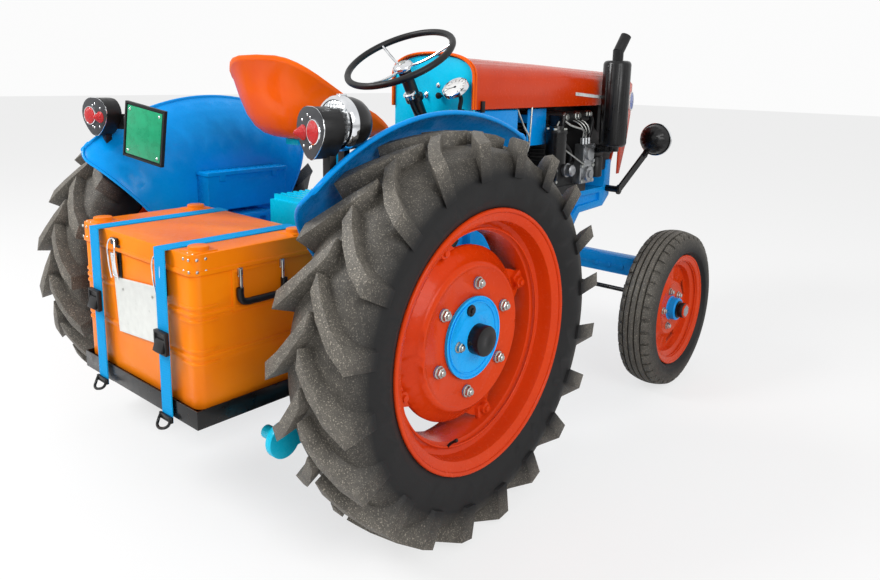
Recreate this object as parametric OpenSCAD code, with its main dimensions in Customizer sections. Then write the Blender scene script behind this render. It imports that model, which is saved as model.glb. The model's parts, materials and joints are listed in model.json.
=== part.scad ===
// Small open farm tractor of the 1960s, with a tool box strapped to its rear carrier
// Forward is +Y, right is +X, and the wheels stand on z = 0

/* [Wheels] */
// Distance between the rear and the front axle
wheelbase = 1362; // [1340:2:1400]
// Distance between the middles of the rear tyres
rear_track = 1302; // [1290:2:1330]
// Distance between the middles of the front tyres
front_track = 1354; // [1340:2:1380]
// Outer radius of a rear tyre at the tips of its lugs
rear_tyre_r = 560; // [556:1:564]
// Height of the rear lugs above the carcass
lug_h = 38; // [30:1:42]
// Half width of the rear tyre's carcass
rear_tyre_hw = 128; // [120:1:130]
// Number of lugs on each side of a rear tyre
lug_count = 20; // [16:1:22]
// Thickness of a lug along the tyre's edge
lug_t = 46; // [36:1:54]
// Radius of the rear rim's outer lip
rear_rim_r = 360; // [354:1:366]
// Half width of the rear rim
rear_rim_hw = 115; // [110:1:118]
// Radius of the rear wheel's bolt circle
rear_bolt_r = 152; // [148:1:158]
// Outer radius of a front tyre
front_tyre_r = 325; // [320:1:330]
// Half width of a front tyre
front_tyre_hw = 73; // [68:1:76]
// Radius of the front rim's outer lip
front_rim_r = 226; // [222:1:230]
// Half width of the front rim
front_rim_hw = 56; // [54:1:60]
// Depth of the grooves between the front tyre's ribs
rib_h = 11; // [8:1:14]

/* [Chassis] */
// Half width of the gearbox tunnel
box_hw = 110; // [100:1:120]
// Radius of the rear axle's trumpets
trumpet_r = 62; // [56:1:66]
// Half width of the engine's crankcase
engine_hw = 150; // [140:1:155]
// Length of the engine's crankcase
engine_l = 625; // [610:1:640]
// Height of the joint between the crankcase and the front support
sump_z = 735; // [730:1:740]
// Diameter of the drawbar's pin hole
pin_d = 26; // [22:1:30]
// Diameter of the stub on each hitch arm
stub_d = 36; // [30:1:38]
// Radius of the round end of each hitch arm
eye_r = 48; // [44:1:52]

/* [Sheet metal] */
// Half width of the bonnet
bonnet_hw = 200; // [190:1:210]
// Height of the bonnet's lower edge
bonnet_low_z = 1137; // [1130:1:1145]
// Height of the bonnet's crease
bonnet_crease_z = 1250; // [1240:1:1260]
// Height of the bonnet's ridge at the dash
bonnet_rear_z = 1336; // [1325:1:1345]
// Height of the bonnet's ridge at the nose
bonnet_front_z = 1290; // [1280:1:1300]
// Distance from the rear axle to the bonnet's rear hoop
hoop_y = 612; // [605:1:620]
// Length of the nose in front of the bonnet
nose_l = 165; // [155:1:175]
// Thickness of the bonnet and fender sheet
sheet = 4; // [3:0.5:5]
// Radius of the fender's rolled edge
fender_r = 774; // [768:1:784]
// Distance from the fender's edge in to the middle of the rear tyre
fender_off = 66; // [60:1:72]
// Width of the fender from its inner side to its edge
fender_w = 163; // [156:1:170]
// Radius of the bend between the fender's inner side and its edge
flare_r = 290; // [280:1:300]

/* [Driver's place] */
// Outer radius of the steering wheel's rim
steer_r = 212; // [200:1:220]
// Thickness of the steering wheel's rim
steer_rim_d = 24; // [20:1:28]
// Tilt of the steering wheel towards the driver
steer_tilt = 30; // [26:1:34]
// Half width of the seat
seat_hw = 240; // [230:1:246]
// Height of the seat's back above its pan
seat_back_h = 247; // [235:1:255]
// Thickness of the seat's pressed sheet
seat_t = 5; // [4:0.5:6]

/* [Rear box] */
// Width of the box
case_w = 594; // [580:1:600]
// Depth of the box, front to back
case_d = 390; // [380:1:396]
// Height of the box's body below its lid
case_h = 352; // [340:1:360]
// Height of the lid
lid_h = 54; // [48:1:60]
// Thickness of the box's walls
case_wall = 4; // [3:0.5:6]
// Roundness of the box's upright corners
case_corner_r = 26; // [20:1:32]
// Width of the webbing straps
strap_w = 50; // [45:1:55]
// Thickness of the webbing
strap_t = 3; // [2:0.5:4]
// Distance from the middle to each strap
strap_x = 178; // [170:1:190]

/* [Hidden] */
$fn = 64;

blue = "#1f8fd0";
cyan = "#19b4d8";
orange = "#e8481c";
amber = "#ef8a1c";
black = "#1c1d1f";
rubber = "#3a3835";
steel = "#a9adb0";

seat_gap = 0.3;          // what lies against its neighbour is this far from it
run_gap = 6;             // what moves past its neighbour clears it by this much
fit_gap = 0.05;          // radial play of a shaft that turns in its bore

// main places, from the rear axle and the ground
rear_z = rear_tyre_r;
front_z = front_tyre_r;
engine_end_y = wheelbase + 198;
engine_y = engine_end_y - engine_l;
support_end_y = wheelbase + 438;
bonnet_l = support_end_y + 2 - hoop_y;
hub_y = hoop_y - 174;    // middle of the steering wheel
nose_y = hoop_y + bonnet_l + nose_l;
case_y = -396;           // middle of the box
case_low_z = 412;        // underside of the box
case_rear_y = case_y - case_d/2;
latch_t = 12;            // depth of the latches on the box's rear
lid_over = 3;            // the lid stands out this far round the body
strap_back_y = case_rear_y - lid_over - 3 - 2*seat_gap - latch_t;
strap_rear_y = strap_back_y - strap_t;
y_mid = (nose_y + strap_rear_y)/2;   // the frame's origin lies halfway along

module own_place() translate([0, -y_mid, 0]) children();
module both_sides() { children(); mirror([1, 0, 0]) children(); }
// turns a profile drawn as [y, z] so that it is extruded along +X
module along_x() rotate([90, 0, 90]) children();
// turns a profile drawn as [radius, x] about a line along X, from a0 to a1 above +Y
module turn_x(a0 = 0, a1 = 360)
  rotate([90, 0, 90]) rotate([0, 0, a0])
    if (a1 - a0 < 360) rotate_extrude(angle = a1 - a0, $fn = 300) children();
    else rotate_extrude() children();
module block(x0, x1, y0, y1, z0, z1) translate([x0, y0, z0]) cube([x1 - x0, y1 - y0, z1 - z0]);
module wide(hw, y0, y1, z0, z1) block(-hw, hw, y0, y1, z0, z1);
module rod_x(x0, x1, y, z, r) translate([x0, y, z]) rotate([0, 90, 0]) cylinder(h = x1 - x0, r = r);
module rod_y(y0, y1, x, z, r) translate([x, y0, z]) rotate([-90, 0, 0]) cylinder(h = y1 - y0, r = r);
module rod_z(z0, z1, x, y, r) translate([x, y, z0]) cylinder(h = z1 - z0, r = r);
// a round bar from a to b
module bar(a, b, r) {
  d = b - a;
  translate(a) rotate([0, acos(d[2]/norm(d)), atan2(d[1], d[0])]) cylinder(h = norm(d), r = r);
}
// a flat bar from a to b, w wide and t thick, turned about its own line
module flat_bar(a, b, w, t, turn) {
  d = b - a;
  translate(a) rotate([0, acos(d[2]/norm(d)), atan2(d[1], d[0])]) rotate([0, 0, turn])
    translate([-t/2, -w/2, 0]) cube([t, w, norm(d)]);
}
// a solid through equal closed rings of points
module loft(rings) {
  n = len(rings[0]);
  m = len(rings);
  pts = [for (r = rings) each r];
  sides = [for (j = [0:m - 2], i = [0:n - 1], k = [0, 1]) let (i2 = (i + 1) % n)
    k == 0 ? [j*n + i, j*n + i2, (j + 1)*n + i2] : [j*n + i, (j + 1)*n + i2, (j + 1)*n + i]];
  polyhedron(pts, concat(sides, [[for (i = [n - 1:-1:0]) i]], [[for (i = [0:n - 1]) (m - 1)*n + i]]));
}
// a bent sheet between equal open rings of points, those of its outside and those of its inside
module shell_loft(outs, ins) {
  k = len(outs[0]);
  m = len(outs);
  o = 0;
  h = m*k;
  loop = concat([for (i = [0:k - 2]) [o + i, o + i + 1]], [[o + k - 1, h + k - 1]],
                [for (i = [k - 2:-1:0]) [h + i + 1, h + i]], [[h, o]]);
  sides = [for (j = [0:m - 2], e = loop, t = [0, 1]) let (a = e[0] + j*k, b = e[1] + j*k)
    t == 0 ? [a, b, b + k] : [b + k, a + k, a]];
  last = (m - 1)*k;
  caps = [for (i = [0:k - 2], t = [0:3])
    t == 0 ? [h + i, h + i + 1, i + 1] : t == 1 ? [i + 1, i, h + i] :
    t == 2 ? [last + i, last + i + 1, last + h + i + 1] : [last + h + i + 1, last + h + i, last + i]];
  polyhedron(concat([for (r = outs) each r], [for (r = ins) each r]), concat(sides, caps));
}

// Rear wheels

// Middle line of a lug: [across the tread, along the tread, top below the tip circle]
lug_line = [[-6, 80, 0], [34, 22, 1], [82, -34, 5], [134, -76, 14]];
lug_root_r = rear_tyre_r - 112;
function lug_point(p, side, r) = let (a = (p[1] + side*lug_t/2)/rear_tyre_r*180/PI)
  [p[0], r*sin(a), r*cos(a)];
module lug() {
  rings = [for (p = lug_line) [lug_point(p, -1.15, lug_root_r), lug_point(p, -1, rear_tyre_r - p[2]),
                               lug_point(p, 1, rear_tyre_r - p[2]), lug_point(p, 1.15, lug_root_r)]];
  loft(rings);
}
// Half of the tyre's section as [radius, x], from the bead to the crown
function tyre_half(r, hw, bead_r, bead_hw, lean) = [
  [bead_r, bead_hw], [bead_r + 22, bead_hw + lean], [bead_r + 0.30*(r - bead_r), hw - 3],
  [bead_r + 0.55*(r - bead_r), hw], [bead_r + 0.76*(r - bead_r), hw - 8],
  [bead_r + 0.90*(r - bead_r), hw*0.80], [r - 4, hw*0.5], [r, hw*0.16]];
function mirror_x(pts) = [for (i = [len(pts) - 1:-1:0]) [pts[i][0], -pts[i][1]]];
module tyre_carcass(r, hw, bead_r, bead_hw, lean) {
  half = tyre_half(r, hw, bead_r, bead_hw, lean);
  turn_x() polygon(concat(half, mirror_x(half)));
}
flange_h = 24;           // height of the rear rim's flanges
flange_t = 7;
flange_in = 12;          // how far a flange leans outwards
bead_r = rear_rim_r - flange_h;
bead_hw = rear_rim_hw - flange_in - flange_t - 2*seat_gap;
module rear_tyre() color(rubber) {
  pitch = 360/lug_count;
  tyre_carcass(rear_tyre_r - lug_h, rear_tyre_hw, bead_r, bead_hw, 10);
  for (i = [0:lug_count - 1]) {
    rotate([i*pitch, 0, 0]) lug();
    rotate([(i + 0.5)*pitch, 0, 0]) mirror([1, 0, 0]) lug();
  }
}
disc_x = 53;             // outer face of the wheel disc, from the middle of the tyre
disc_t = 9;
disc_r = 204;            // ridge round the disc's outer face
disc_back_r = 250;       // the disc widens to this at its back
ear_x = 5;               // back of the ears, from the middle of the tyre
ear_bolt_r = 270;
ear_a = 22;              // the first ear stands this far above +Y
hub_disc_r = 115;
bolt_turn = -7;
well_d = 34;             // depth of the rim's well below its bead seats
module at_angle(a) rotate([a - 90, 0, 0]) children();
module rear_rim() color(orange) {
  rt = flange_t;
  seat = bead_r - seat_gap;
  well = seat - well_d;
  bend = rear_rim_hw - flange_in;
  turn_x() polygon([
    [rear_rim_r, rear_rim_hw], [rear_rim_r, rear_rim_hw - rt], [seat, bend - rt],
    [seat - 3, 52], [well, 40], [well, -40], [seat - 3, -52], [seat, -bend + rt],
    [rear_rim_r, -rear_rim_hw + rt], [rear_rim_r, -rear_rim_hw],
    [seat - rt, 2 - bend], [seat - rt - 3, -56], [well - rt, -44],
    [well - rt, 44], [seat - rt - 3, 56], [seat - rt, bend - 2]]);
  difference() {
    turn_x() polygon([[hub_disc_r - 14, disc_x], [188, disc_x], [196, disc_x + 5], [disc_r, disc_x + 3],
      [disc_r + 9, disc_x - 8], [disc_back_r - 3, ear_x + disc_t + 4], [disc_back_r, ear_x + disc_t],
      [disc_back_r, ear_x], [disc_back_r - 7, ear_x], [disc_r, disc_x - 12], [196, disc_x - disc_t + 3],
      [188, disc_x - disc_t], [hub_disc_r - 14, disc_x - disc_t]]);
    for (k = [0:5]) rotate([k*60 + bolt_turn, 0, 0]) rod_x(disc_x - 40, disc_x + 20, 0, rear_bolt_r, 9);
  }
  for (k = [0:3]) at_angle(ear_a + k*90) {
    // ear of the disc, then the bracket welded in the rim's well, and their bolt
    along_x() translate([0, 0, ear_x + 0.5]) linear_extrude(disc_t - 1)
      polygon([[-74, 226], [74, 226], [44, 266], [24, 288], [-24, 288], [-44, 266]]);
    along_x() translate([0, 0, ear_x + disc_t - 1]) linear_extrude(13)
      polygon([[-22, 256], [22, 256], [30, well - rt + 2], [-30, well - rt + 2]]);
    rod_x(ear_x - 14, ear_x + disc_t + 32, 0, ear_bolt_r, 9);
    for (x = [ear_x - 12, ear_x + disc_t + 11]) rod_x(x, x + 13, 0, ear_bolt_r, 16);
  }
}
cap_r = 40;              // black cap over the end of the half shaft
cap_end_x = 103;         // its end, from the middle of the tyre
module rear_hub() color(cyan) {
  rod_x(hub_in_x - run_gap - shaft_l, hub_in_x + 1, 0, 0, shaft_r);
  turn_x() polygon([[0, hub_in_x], [54, hub_in_x], [54, 10], [100, 24], [100, disc_x + 0.3],
    [hub_disc_r, disc_x + 0.3], [hub_disc_r, disc_x + 7], [hub_disc_r - 7, disc_x + 9],
    [hub_disc_r - 10, disc_x + 6], [66, disc_x + 6], [46, disc_x + 18], [cap_r, disc_x + 20],
    [cap_r, cap_end_x - 3], [cap_r - 3, cap_end_x], [0, cap_end_x]]);
  // back plate with the wheel bolts
  turn_x() polygon([[88, disc_x - disc_t - 14], [rear_bolt_r + 22, disc_x - disc_t - 14],
    [rear_bolt_r + 22, disc_x - disc_t - seat_gap], [88, disc_x - disc_t - seat_gap]]);
  for (k = [0:5]) rotate([k*60 + bolt_turn, 0, 0]) {
    rod_x(disc_x - disc_t - 10, disc_x + 16, 0, rear_bolt_r, 8.7);
    rod_x(disc_x + seat_gap, disc_x + 4, 0, rear_bolt_r, 17);
  }
  // filler plug
  rotate([11, 0, 0]) rod_x(disc_x + 5, disc_x + 13, 0, 82, 15);
}
module at_rear(side) translate([side*rear_track/2, 0, rear_z]) mirror([side < 0 ? 1 : 0, 0, 0]) children();

// Front wheels

front_flange_h = 16;
front_flange_t = 5;
front_flange_in = 6;
front_bead_r = front_rim_r - front_flange_h;
module front_tyre() color(rubber) {
  difference() {
    tyre_carcass(front_tyre_r, front_tyre_hw, front_bead_r,
                 front_rim_hw - front_flange_in - front_flange_t - 2*seat_gap, 6);
    for (x = [-36, -12, 12, 36]) turn_x()
      translate([front_tyre_r - rib_h - abs(x)*0.12, x - 3]) square([rib_h + 20, 6]);
  }
}
front_disc_x = 20;
spindle_r = 12;
module front_rim() color(orange) {
  rt = front_flange_t;
  seat = front_bead_r - seat_gap;
  well = seat - 22;
  bend = front_rim_hw - front_flange_in;
  turn_x() polygon([
    [front_rim_r, front_rim_hw], [front_rim_r, front_rim_hw - rt], [seat, bend - rt],
    [seat - 2, 30], [well, 22], [well, -22], [seat - 2, -30], [seat, -bend + rt],
    [front_rim_r, -front_rim_hw + rt], [front_rim_r, -front_rim_hw],
    [seat - rt, 1 - bend], [seat - rt - 2, -33], [well - rt, -25],
    [well - rt, 25], [seat - rt - 2, 33], [seat - rt, bend - 1]]);
  difference() {
    turn_x() polygon([[44, front_disc_x], [100, front_disc_x], [108, front_disc_x + 4],
      [128, front_disc_x - 12], [well - rt + 1, front_disc_x - 18],
      [well - rt + 1, front_disc_x - 24], [126, front_disc_x - 18], [104, front_disc_x - 6],
      [44, front_disc_x - 6]]);
    for (a = [0:90:270]) rotate([a + 20, 0, 0]) translate([-20, 0, 152])
      rotate([0, 90, 0]) linear_extrude(60) polygon([[-16, -40], [16, -34], [16, 34], [-16, 40]]);
  }
  // hub barrel, grease cap and wheel bolts
  turn_x() polygon([[spindle_r + fit_gap, -30], [40, -30], [44, -12], [44, front_disc_x + 8], [34, front_disc_x + 34],
    [spindle_r + fit_gap, front_disc_x + 34]]);
  turn_x() polygon([[0, front_disc_x + 34], [30, front_disc_x + 34], [27, front_disc_x + 66],
    [0, front_disc_x + 66]]);
  for (k = [0:4]) rotate([k*72 + 15, 0, 0]) rod_x(front_disc_x - 5, front_disc_x + 13, 0, 76, 8);
}
module at_front(side) translate([side*front_track/2, wheelbase, front_z])
  mirror([side < 0 ? 1 : 0, 0, 0]) children();

// Front axle and steering

beam_z = 470;            // middle of the front axle beam
beam_h = 76;
beam_t = 66;
beam_end = 528;          // half length of the beam
pivot_r = 16;            // pin on which the beam swings
pin_x = 560;             // kingpins
arm_y = wheelbase - 134; // ball ends of the steering arms
arm_z = 400;
ball_x = pin_x;
ball_r = 8;
kingpin_r = 11;
fork_r = 26;             // round end of the forks
module front_axle_beam() color(blue) {
  difference() {
    wide(beam_end, wheelbase - beam_t/2, wheelbase + beam_t/2, beam_z - beam_h/2, beam_z + beam_h/2);
    rod_y(wheelbase - 50, wheelbase + 50, 0, beam_z, pivot_r + seat_gap);
  }
  both_sides() {
    // fork round the kingpin
    for (z = [beam_z - beam_h/2, beam_z + 24]) {
      block(beam_end, pin_x, wheelbase - fork_r, wheelbase + fork_r, z, z + beam_h/2 - 24);
      rod_z(z, z + beam_h/2 - 24, pin_x, wheelbase, fork_r);
    }
    rod_z(beam_z - 24.05, beam_z + 24.05, pin_x, wheelbase, kingpin_r);
    for (x = [360, 420, 480]) rod_y(wheelbase - beam_t/2 - 7, wheelbase - beam_t/2, x, beam_z - 4, 10);
  }
}
// Right knuckle: a barrel on the kingpin, the wheel spindle and the steering arm
module knuckle() color(black) {
  difference() {
    union() {
      rod_z(beam_z - 23.7, beam_z + 23.7, pin_x, wheelbase, 24);
      hull() {
        rod_z(beam_z - 23, beam_z + 20, pin_x + 16, wheelbase, 16);
        rod_z(front_z - 20, front_z + 20, pin_x + 38, wheelbase, 18);
      }
    }
    rod_z(beam_z - beam_h, beam_z + beam_h, pin_x, wheelbase, kingpin_r + fit_gap);
    rod_z(beam_z - beam_h/2 - run_gap, beam_z - 23.7, pin_x, wheelbase, fork_r + run_gap);
  }
  rod_x(pin_x + 30, front_track/2 + front_disc_x + 30, wheelbase, front_z, spindle_r);
  hull() {
    rod_z(arm_z + 8, arm_z + 22, pin_x + 30, wheelbase - 10, 12);
    rod_z(arm_z + 8, arm_z + 22, ball_x, arm_y, 14);
  }
  rod_z(arm_z - 12, arm_z + 9, ball_x, arm_y, ball_r);
}
module tie_rod() color(black) {
  difference() {
    union() {
      rod_x(-ball_x + 12, ball_x - 12, arm_y, arm_z - 2, 9);
      both_sides() rod_z(arm_z - 16, arm_z + 7.7, ball_x, arm_y, 17);
    }
    both_sides() rod_z(arm_z - 30, arm_z + 30, ball_x, arm_y, ball_r + fit_gap);
  }
}

// Gearbox, axle and engine

bell_top_z = 780;        // top of the clutch housing
bell_y = hub_y + 252;    // its rear face
tunnel_z = 690;          // top of the gearbox tunnel
module gearbox() color(blue) {
  difference() {
    union() {
      wide(130, -70, 175, 430, 720);
      wide(box_hw, 175, bell_y + 10, 440, tunnel_z);
      along_x() translate([0, 0, -150]) linear_extrude(300)
        polygon([[bell_y, 460], [bell_y + 30, 410], [engine_y - seat_gap, 395],
                 [engine_y - seat_gap, bell_top_z], [bell_y + 40, bell_top_z], [bell_y, tunnel_z + 10]]);
    }
    rod_y(-80, 0, 0, 560, 50);
  }
  // power take-off shaft with its collar
  rod_y(-100, 1, 0, 560, 17.5);
}
shaft_r = 30;            // half shafts, which carry the rear hubs
shaft_l = 46;            // length of each half shaft inside its trumpet
hub_in_x = -60;          // inner end of the hub, from the middle of the tyre
axle_end_x = rear_track/2 + hub_in_x - run_gap;
module rear_axle() color(blue) both_sides() {
  difference() {
    union() {
      rod_x(130 + seat_gap, 470, 0, rear_z, trumpet_r);
      rod_x(130 + seat_gap, 160, 0, rear_z, 118);
      rod_x(455, axle_end_x, 0, rear_z, 105);
    }
    rod_x(axle_end_x - shaft_l - 4, axle_end_x + 1, 0, rear_z, shaft_r + fit_gap);
  }
  // bracket that carries the fender
  block(330, 352, -60, 60, rear_z + 55, 740);
  block(330, fender_in_x - seat_gap, -110, 110, 740, 760);
  for (y = [-90, 90]) block(330, fender_in_x - seat_gap, y - 6, y + 6, 700, 741);
}
module lift_housing() color(cyan) {
  wide(118, -52, 180, 720 + seat_gap, 845);
  for (y = [-40:26:120]) wide(112, y, y + 10, 844, 862);
  rod_x(-150, 150, 60, 800, 26);
}
sump_end_y = wheelbase - 122;
head_y = [engine_y + 0.248*engine_l, engine_y + 0.632*engine_l];   // middles of the two cylinders
head_hw = 96;
manifold_x = 128;
manifold_r = 26;
block_z = 880;           // top of the crankcase
module engine() color(black) {
  wide(engine_hw - 20, engine_y, sump_end_y, 450, sump_z);
  wide(engine_hw, engine_y, engine_end_y, sump_z, block_z);
  // flange between the crankcase's halves
  wide(engine_hw + 8, engine_y + 20, engine_end_y - 20, sump_z + 30, sump_z + 42);
  for (y = head_y) {
    rod_z(block_z - 1, 1075, 0, y, 92);
    for (z = [block_z + 12:16:1060]) rod_z(z, z + 6, 0, y, 114);
    wide(head_hw, y - 96, y + 96, 1062, 1112);
    wide(60, y - 70, y + 70, 1111, 1150);
  }
  // exhaust manifold
  rod_y(head_y[0] + 114, engine_end_y, manifold_x, 1085, manifold_r);
  bar([80, head_y[0], 1085], [manifold_x, head_y[0] + 128, 1085], manifold_r - 4);
  rod_x(80, manifold_x, head_y[1], 1085, manifold_r - 4);
}
// Blue guide sheet that leads the fan's air past the rear cylinder
module air_guide() color(blue) {
  y = head_y[0] - 40;
  block(engine_hw - 4, engine_hw, y, y + 140, 975, 1128);
  for (dy = [0, 14]) block(head_hw + seat_gap, engine_hw - 1, y + dy, y + dy + 4, 1070, 1104);
}
filter_x = 205;
filter_y = head_y[0] + 100;
filter_r = 44;
module engine_filter() color(black) {
  rod_z(899, 1042, filter_x, filter_y, filter_r);
  rod_z(1026, 1036, filter_x, filter_y, filter_r + 3);
  rod_z(1041, 1058, filter_x, filter_y, 30);
  rod_z(884, 900, filter_x, filter_y, 13);
  // bracket on the manifold
  block(manifold_x + manifold_r + seat_gap, filter_x + 20, filter_y + 14, filter_y + 38, 1057, 1100);
}
cover_y = engine_end_y - 124;
module side_cover() color(steel) {
  x = engine_hw + 8 + seat_gap;
  block(engine_hw + seat_gap, x + 30, cover_y, cover_y + 122, 782, 872);
  block(engine_hw + seat_gap, x + 38, cover_y + 8, cover_y + 106, 871, 962);
  // round housings of the pump and its drive
  rod_x(x + 10, x + 46, cover_y + 62, 824, 34);
  rod_x(x + 10, x + 54, cover_y + 62, 824, 18);
  rod_x(x + 10, x + 50, cover_y + 56, 918, 30);
  for (y = [30, 56, 82]) rod_z(961, 990, x + 18, cover_y + y, 10);
  for (y = [10, 112], z = [792, 862]) rod_x(x + 20, x + 36, cover_y + y, z, 8);
  for (y = [16, 98], z = [884, 952]) rod_x(x + 20, x + 44, cover_y + y, z, 8);
}
module engine_pipes() color(steel) {
  for (y = [engine_y + 15, engine_y + 47]) rod_z(block_z + seat_gap, bonnet_low_z + 20, 140, y, 6);
}
fan_r = 165;
fan_z = 930;
module fan_housing() color(black) {
  rod_y(engine_end_y + seat_gap, engine_end_y + 130, 0, fan_z, fan_r);
  rod_y(engine_end_y + seat_gap, engine_end_y + 100, 0, 1085, 60);
  rod_y(engine_end_y + 129, engine_end_y + 150, 0, fan_z, fan_r - 30);
}
module front_support() color(blue) {
  ear_top = beam_z + beam_h/2 + run_gap;
  y0 = sump_end_y + seat_gap;
  y1 = support_end_y;
  difference() {
    along_x() translate([0, 0, -engine_hw]) linear_extrude(2*engine_hw) polygon([
      [y0, sump_z - seat_gap], [y0, 640], [wheelbase - 62, 565], [wheelbase - 46, ear_top],
      [wheelbase + 46, ear_top], [wheelbase + 66, 572], [wheelbase + 112, 580], [wheelbase + 158, 632],
      [y1 - 60, 640], [y1, 690], [y1, 866], [y1 - 48, 866], [y1 - 60, sump_z - seat_gap]]);
    wide(70, wheelbase + 78, y1 - 100, 560, 900);
    // waist of the casting under the fan
    both_sides() along_x() translate([0, 0, engine_hw - 16]) linear_extrude(20) polygon([
      [y0 + 40, sump_z - 24], [y0 + 40, 664], [wheelbase - 36, 596], [wheelbase + 52, 596],
      [wheelbase + 140, 664], [y1 - 96, 672], [y1 - 96, sump_z - 24]]);
  }
  // ears and pin of the axle's pivot
  for (y = [wheelbase - beam_t/2 - seat_gap - 18, wheelbase + beam_t/2 + seat_gap])
    difference() {
      wide(60, y, y + 18, beam_z - 34, ear_top + 20);
      both_sides() translate([60, 0, beam_z - 34]) rotate([0, 45, 0]) translate([-24, y - 1, -24]) cube([48, 20, 48]);
    }
  rod_y(wheelbase - beam_t/2 - 26, wheelbase + beam_t/2 + 26, 0, beam_z, pivot_r);
}

// Sheet metal

// Bonnet sections: [y from the hoop, half width, lower edge, crease, ridge]
bonnet_rows = [
  [0, bonnet_hw + 6, bonnet_low_z, bonnet_crease_z + 4, bonnet_rear_z + 8],
  [26, bonnet_hw + 2, bonnet_low_z, bonnet_crease_z, bonnet_rear_z],
  [40, bonnet_hw, bonnet_low_z, bonnet_crease_z, bonnet_rear_z - 6],
  [bonnet_l/2, bonnet_hw - 1, bonnet_low_z, bonnet_crease_z, (bonnet_rear_z + bonnet_front_z)/2],
  [bonnet_l, bonnet_hw - 4, bonnet_low_z, bonnet_crease_z - 3, bonnet_front_z]];
function arch(hw, low, crease, top) = concat([[hw, low], [hw, crease]],
  [for (a = [20:17.5:160]) let (e = 0.82) [hw*sign(cos(a))*pow(abs(cos(a)), e)*0.97,
    crease + (top - crease)*pow(sin(a), e)]], [[-hw, crease], [-hw, low]]);
function arch_ring(y, hw, low, crease, top) = [for (p = arch(hw, low, crease, top)) [p[0], y, p[1]]];
// the section between row i and the next, at k of the way
function between(rows, i, k) = rows[i]*(1 - k) + rows[i + 1]*k;
// sheet metal along rows of sections, t thick
module hood(rows, y0, t) shell_loft(
  [for (r = rows) arch_ring(y0 + r[0], r[1], r[2], r[3], r[4])],
  [for (r = rows) arch_ring(y0 + r[0], r[1] - t, r[2], r[3], r[4] - t)]);
module bonnet() color(orange) hood(bonnet_rows, hoop_y, sheet);

// Nose sections: [y from the bonnet's front, half width, lower edge, crease, ridge]
nose_rows = [
  [seat_gap, bonnet_hw - 4, 800, bonnet_crease_z - 3, bonnet_front_z],
  [70, bonnet_hw - 10, 800, bonnet_crease_z - 8, bonnet_front_z - 6],
  [120, bonnet_hw - 24, 800, bonnet_crease_z - 18, bonnet_front_z - 24],
  [nose_l, bonnet_hw - 48, 800, bonnet_crease_z - 40, bonnet_front_z - 62]];
nose_y0 = hoop_y + bonnet_l;
nose_low_y = nose_y0;    // where the leaning front meets the lower edge
nose_low_z = 800;
nose_top_y = nose_y - 8;
nose_top_z = 1172;
// Front line of the nose, off mm behind it, as points [y, z] from low to high
function nose_line(off, z) = [nose_low_y - off + (z - nose_low_z)*(nose_top_y - nose_low_y)/(nose_top_z - nose_low_z), z];
module nose_cowl() color(orange) {
  difference() {
    hood(nose_rows, nose_y0, sheet + 1);
    along_x() translate([0, 0, -300]) linear_extrude(600)
      polygon([nose_line(0, nose_top_z), [nose_y + 60, nose_top_z], [nose_y + 60, 700], nose_line(0, 700)]);
  }
  both_sides() block(bonnet_hw - 9, bonnet_hw - 4, nose_y0 - 22, nose_y0 + 1, nose_low_z, bonnet_low_z - seat_gap);
}
// space inside the nose, less a seat's gap
module nose_inside() loft([for (r = nose_rows) arch_ring(nose_y0 + r[0], r[1] - sheet - 1 - seat_gap,
  r[2] + 1, r[3], r[4] - sheet - 1 - seat_gap)]);
grille_bars = 11;
module grille() color(orange) intersection() {
  nose_inside();
  along_x() {
    for (k = [0:grille_bars - 1]) translate([0, 0, (k - (grille_bars - 1)/2)*28 - 5]) linear_extrude(10)
      polygon([nose_line(26, 815), nose_line(14, 815), nose_line(14, 1150), nose_line(26, 1150)]);
    for (z = [812, 975, 1138]) translate([0, 0, -200]) linear_extrude(400)
      polygon([nose_line(28, z), nose_line(16, z), nose_line(16, z + 18), nose_line(28, z + 18)]);
  }
}
// Dash: a plate just inside the bonnet's rear hoop, of the hoop's own outline
dash_t = 12;
dash_y = hoop_y + 10;
module dash_panel() color(cyan) {
  row = between(bonnet_rows, 0, (dash_y + dash_t - hoop_y)/bonnet_rows[1][0]);
  in = sheet + seat_gap;
  difference() {
    translate([0, dash_y + dash_t, 0]) rotate([90, 0, 0]) linear_extrude(dash_t)
      polygon(concat(arch(row[1] - in, 1060, row[3], row[4] - in)));
    steering_shaft(26);
  }
}
tank_y = dash_y + dash_t + seat_gap;
module fuel_tank() color(blue) {
  difference() {
    wide(186, tank_y, engine_y - 5, 985, 1132);
    wide(46, tank_y - 1, bell_y + 40, 980, 1080);
  }
  wide(60, engine_y - 95, engine_y - 35, bell_top_z + seat_gap, 986);
}
module dash_gauge() color(black) {
  translate([136, hoop_y - 52, 1228]) rotate([steer_tilt, 0, 0]) {
    translate([0, 0, -6]) cylinder(h = 12, r = 48);
    translate([0, 0, -30]) cylinder(h = 26, r = 16);
  }
  bar([136, hoop_y - 40, 1207], [152, dash_y - 24, 1130], 9);
  rod_y(dash_y - 28, dash_y - seat_gap, 152, 1130, 10);
}

// Driver's place

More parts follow.
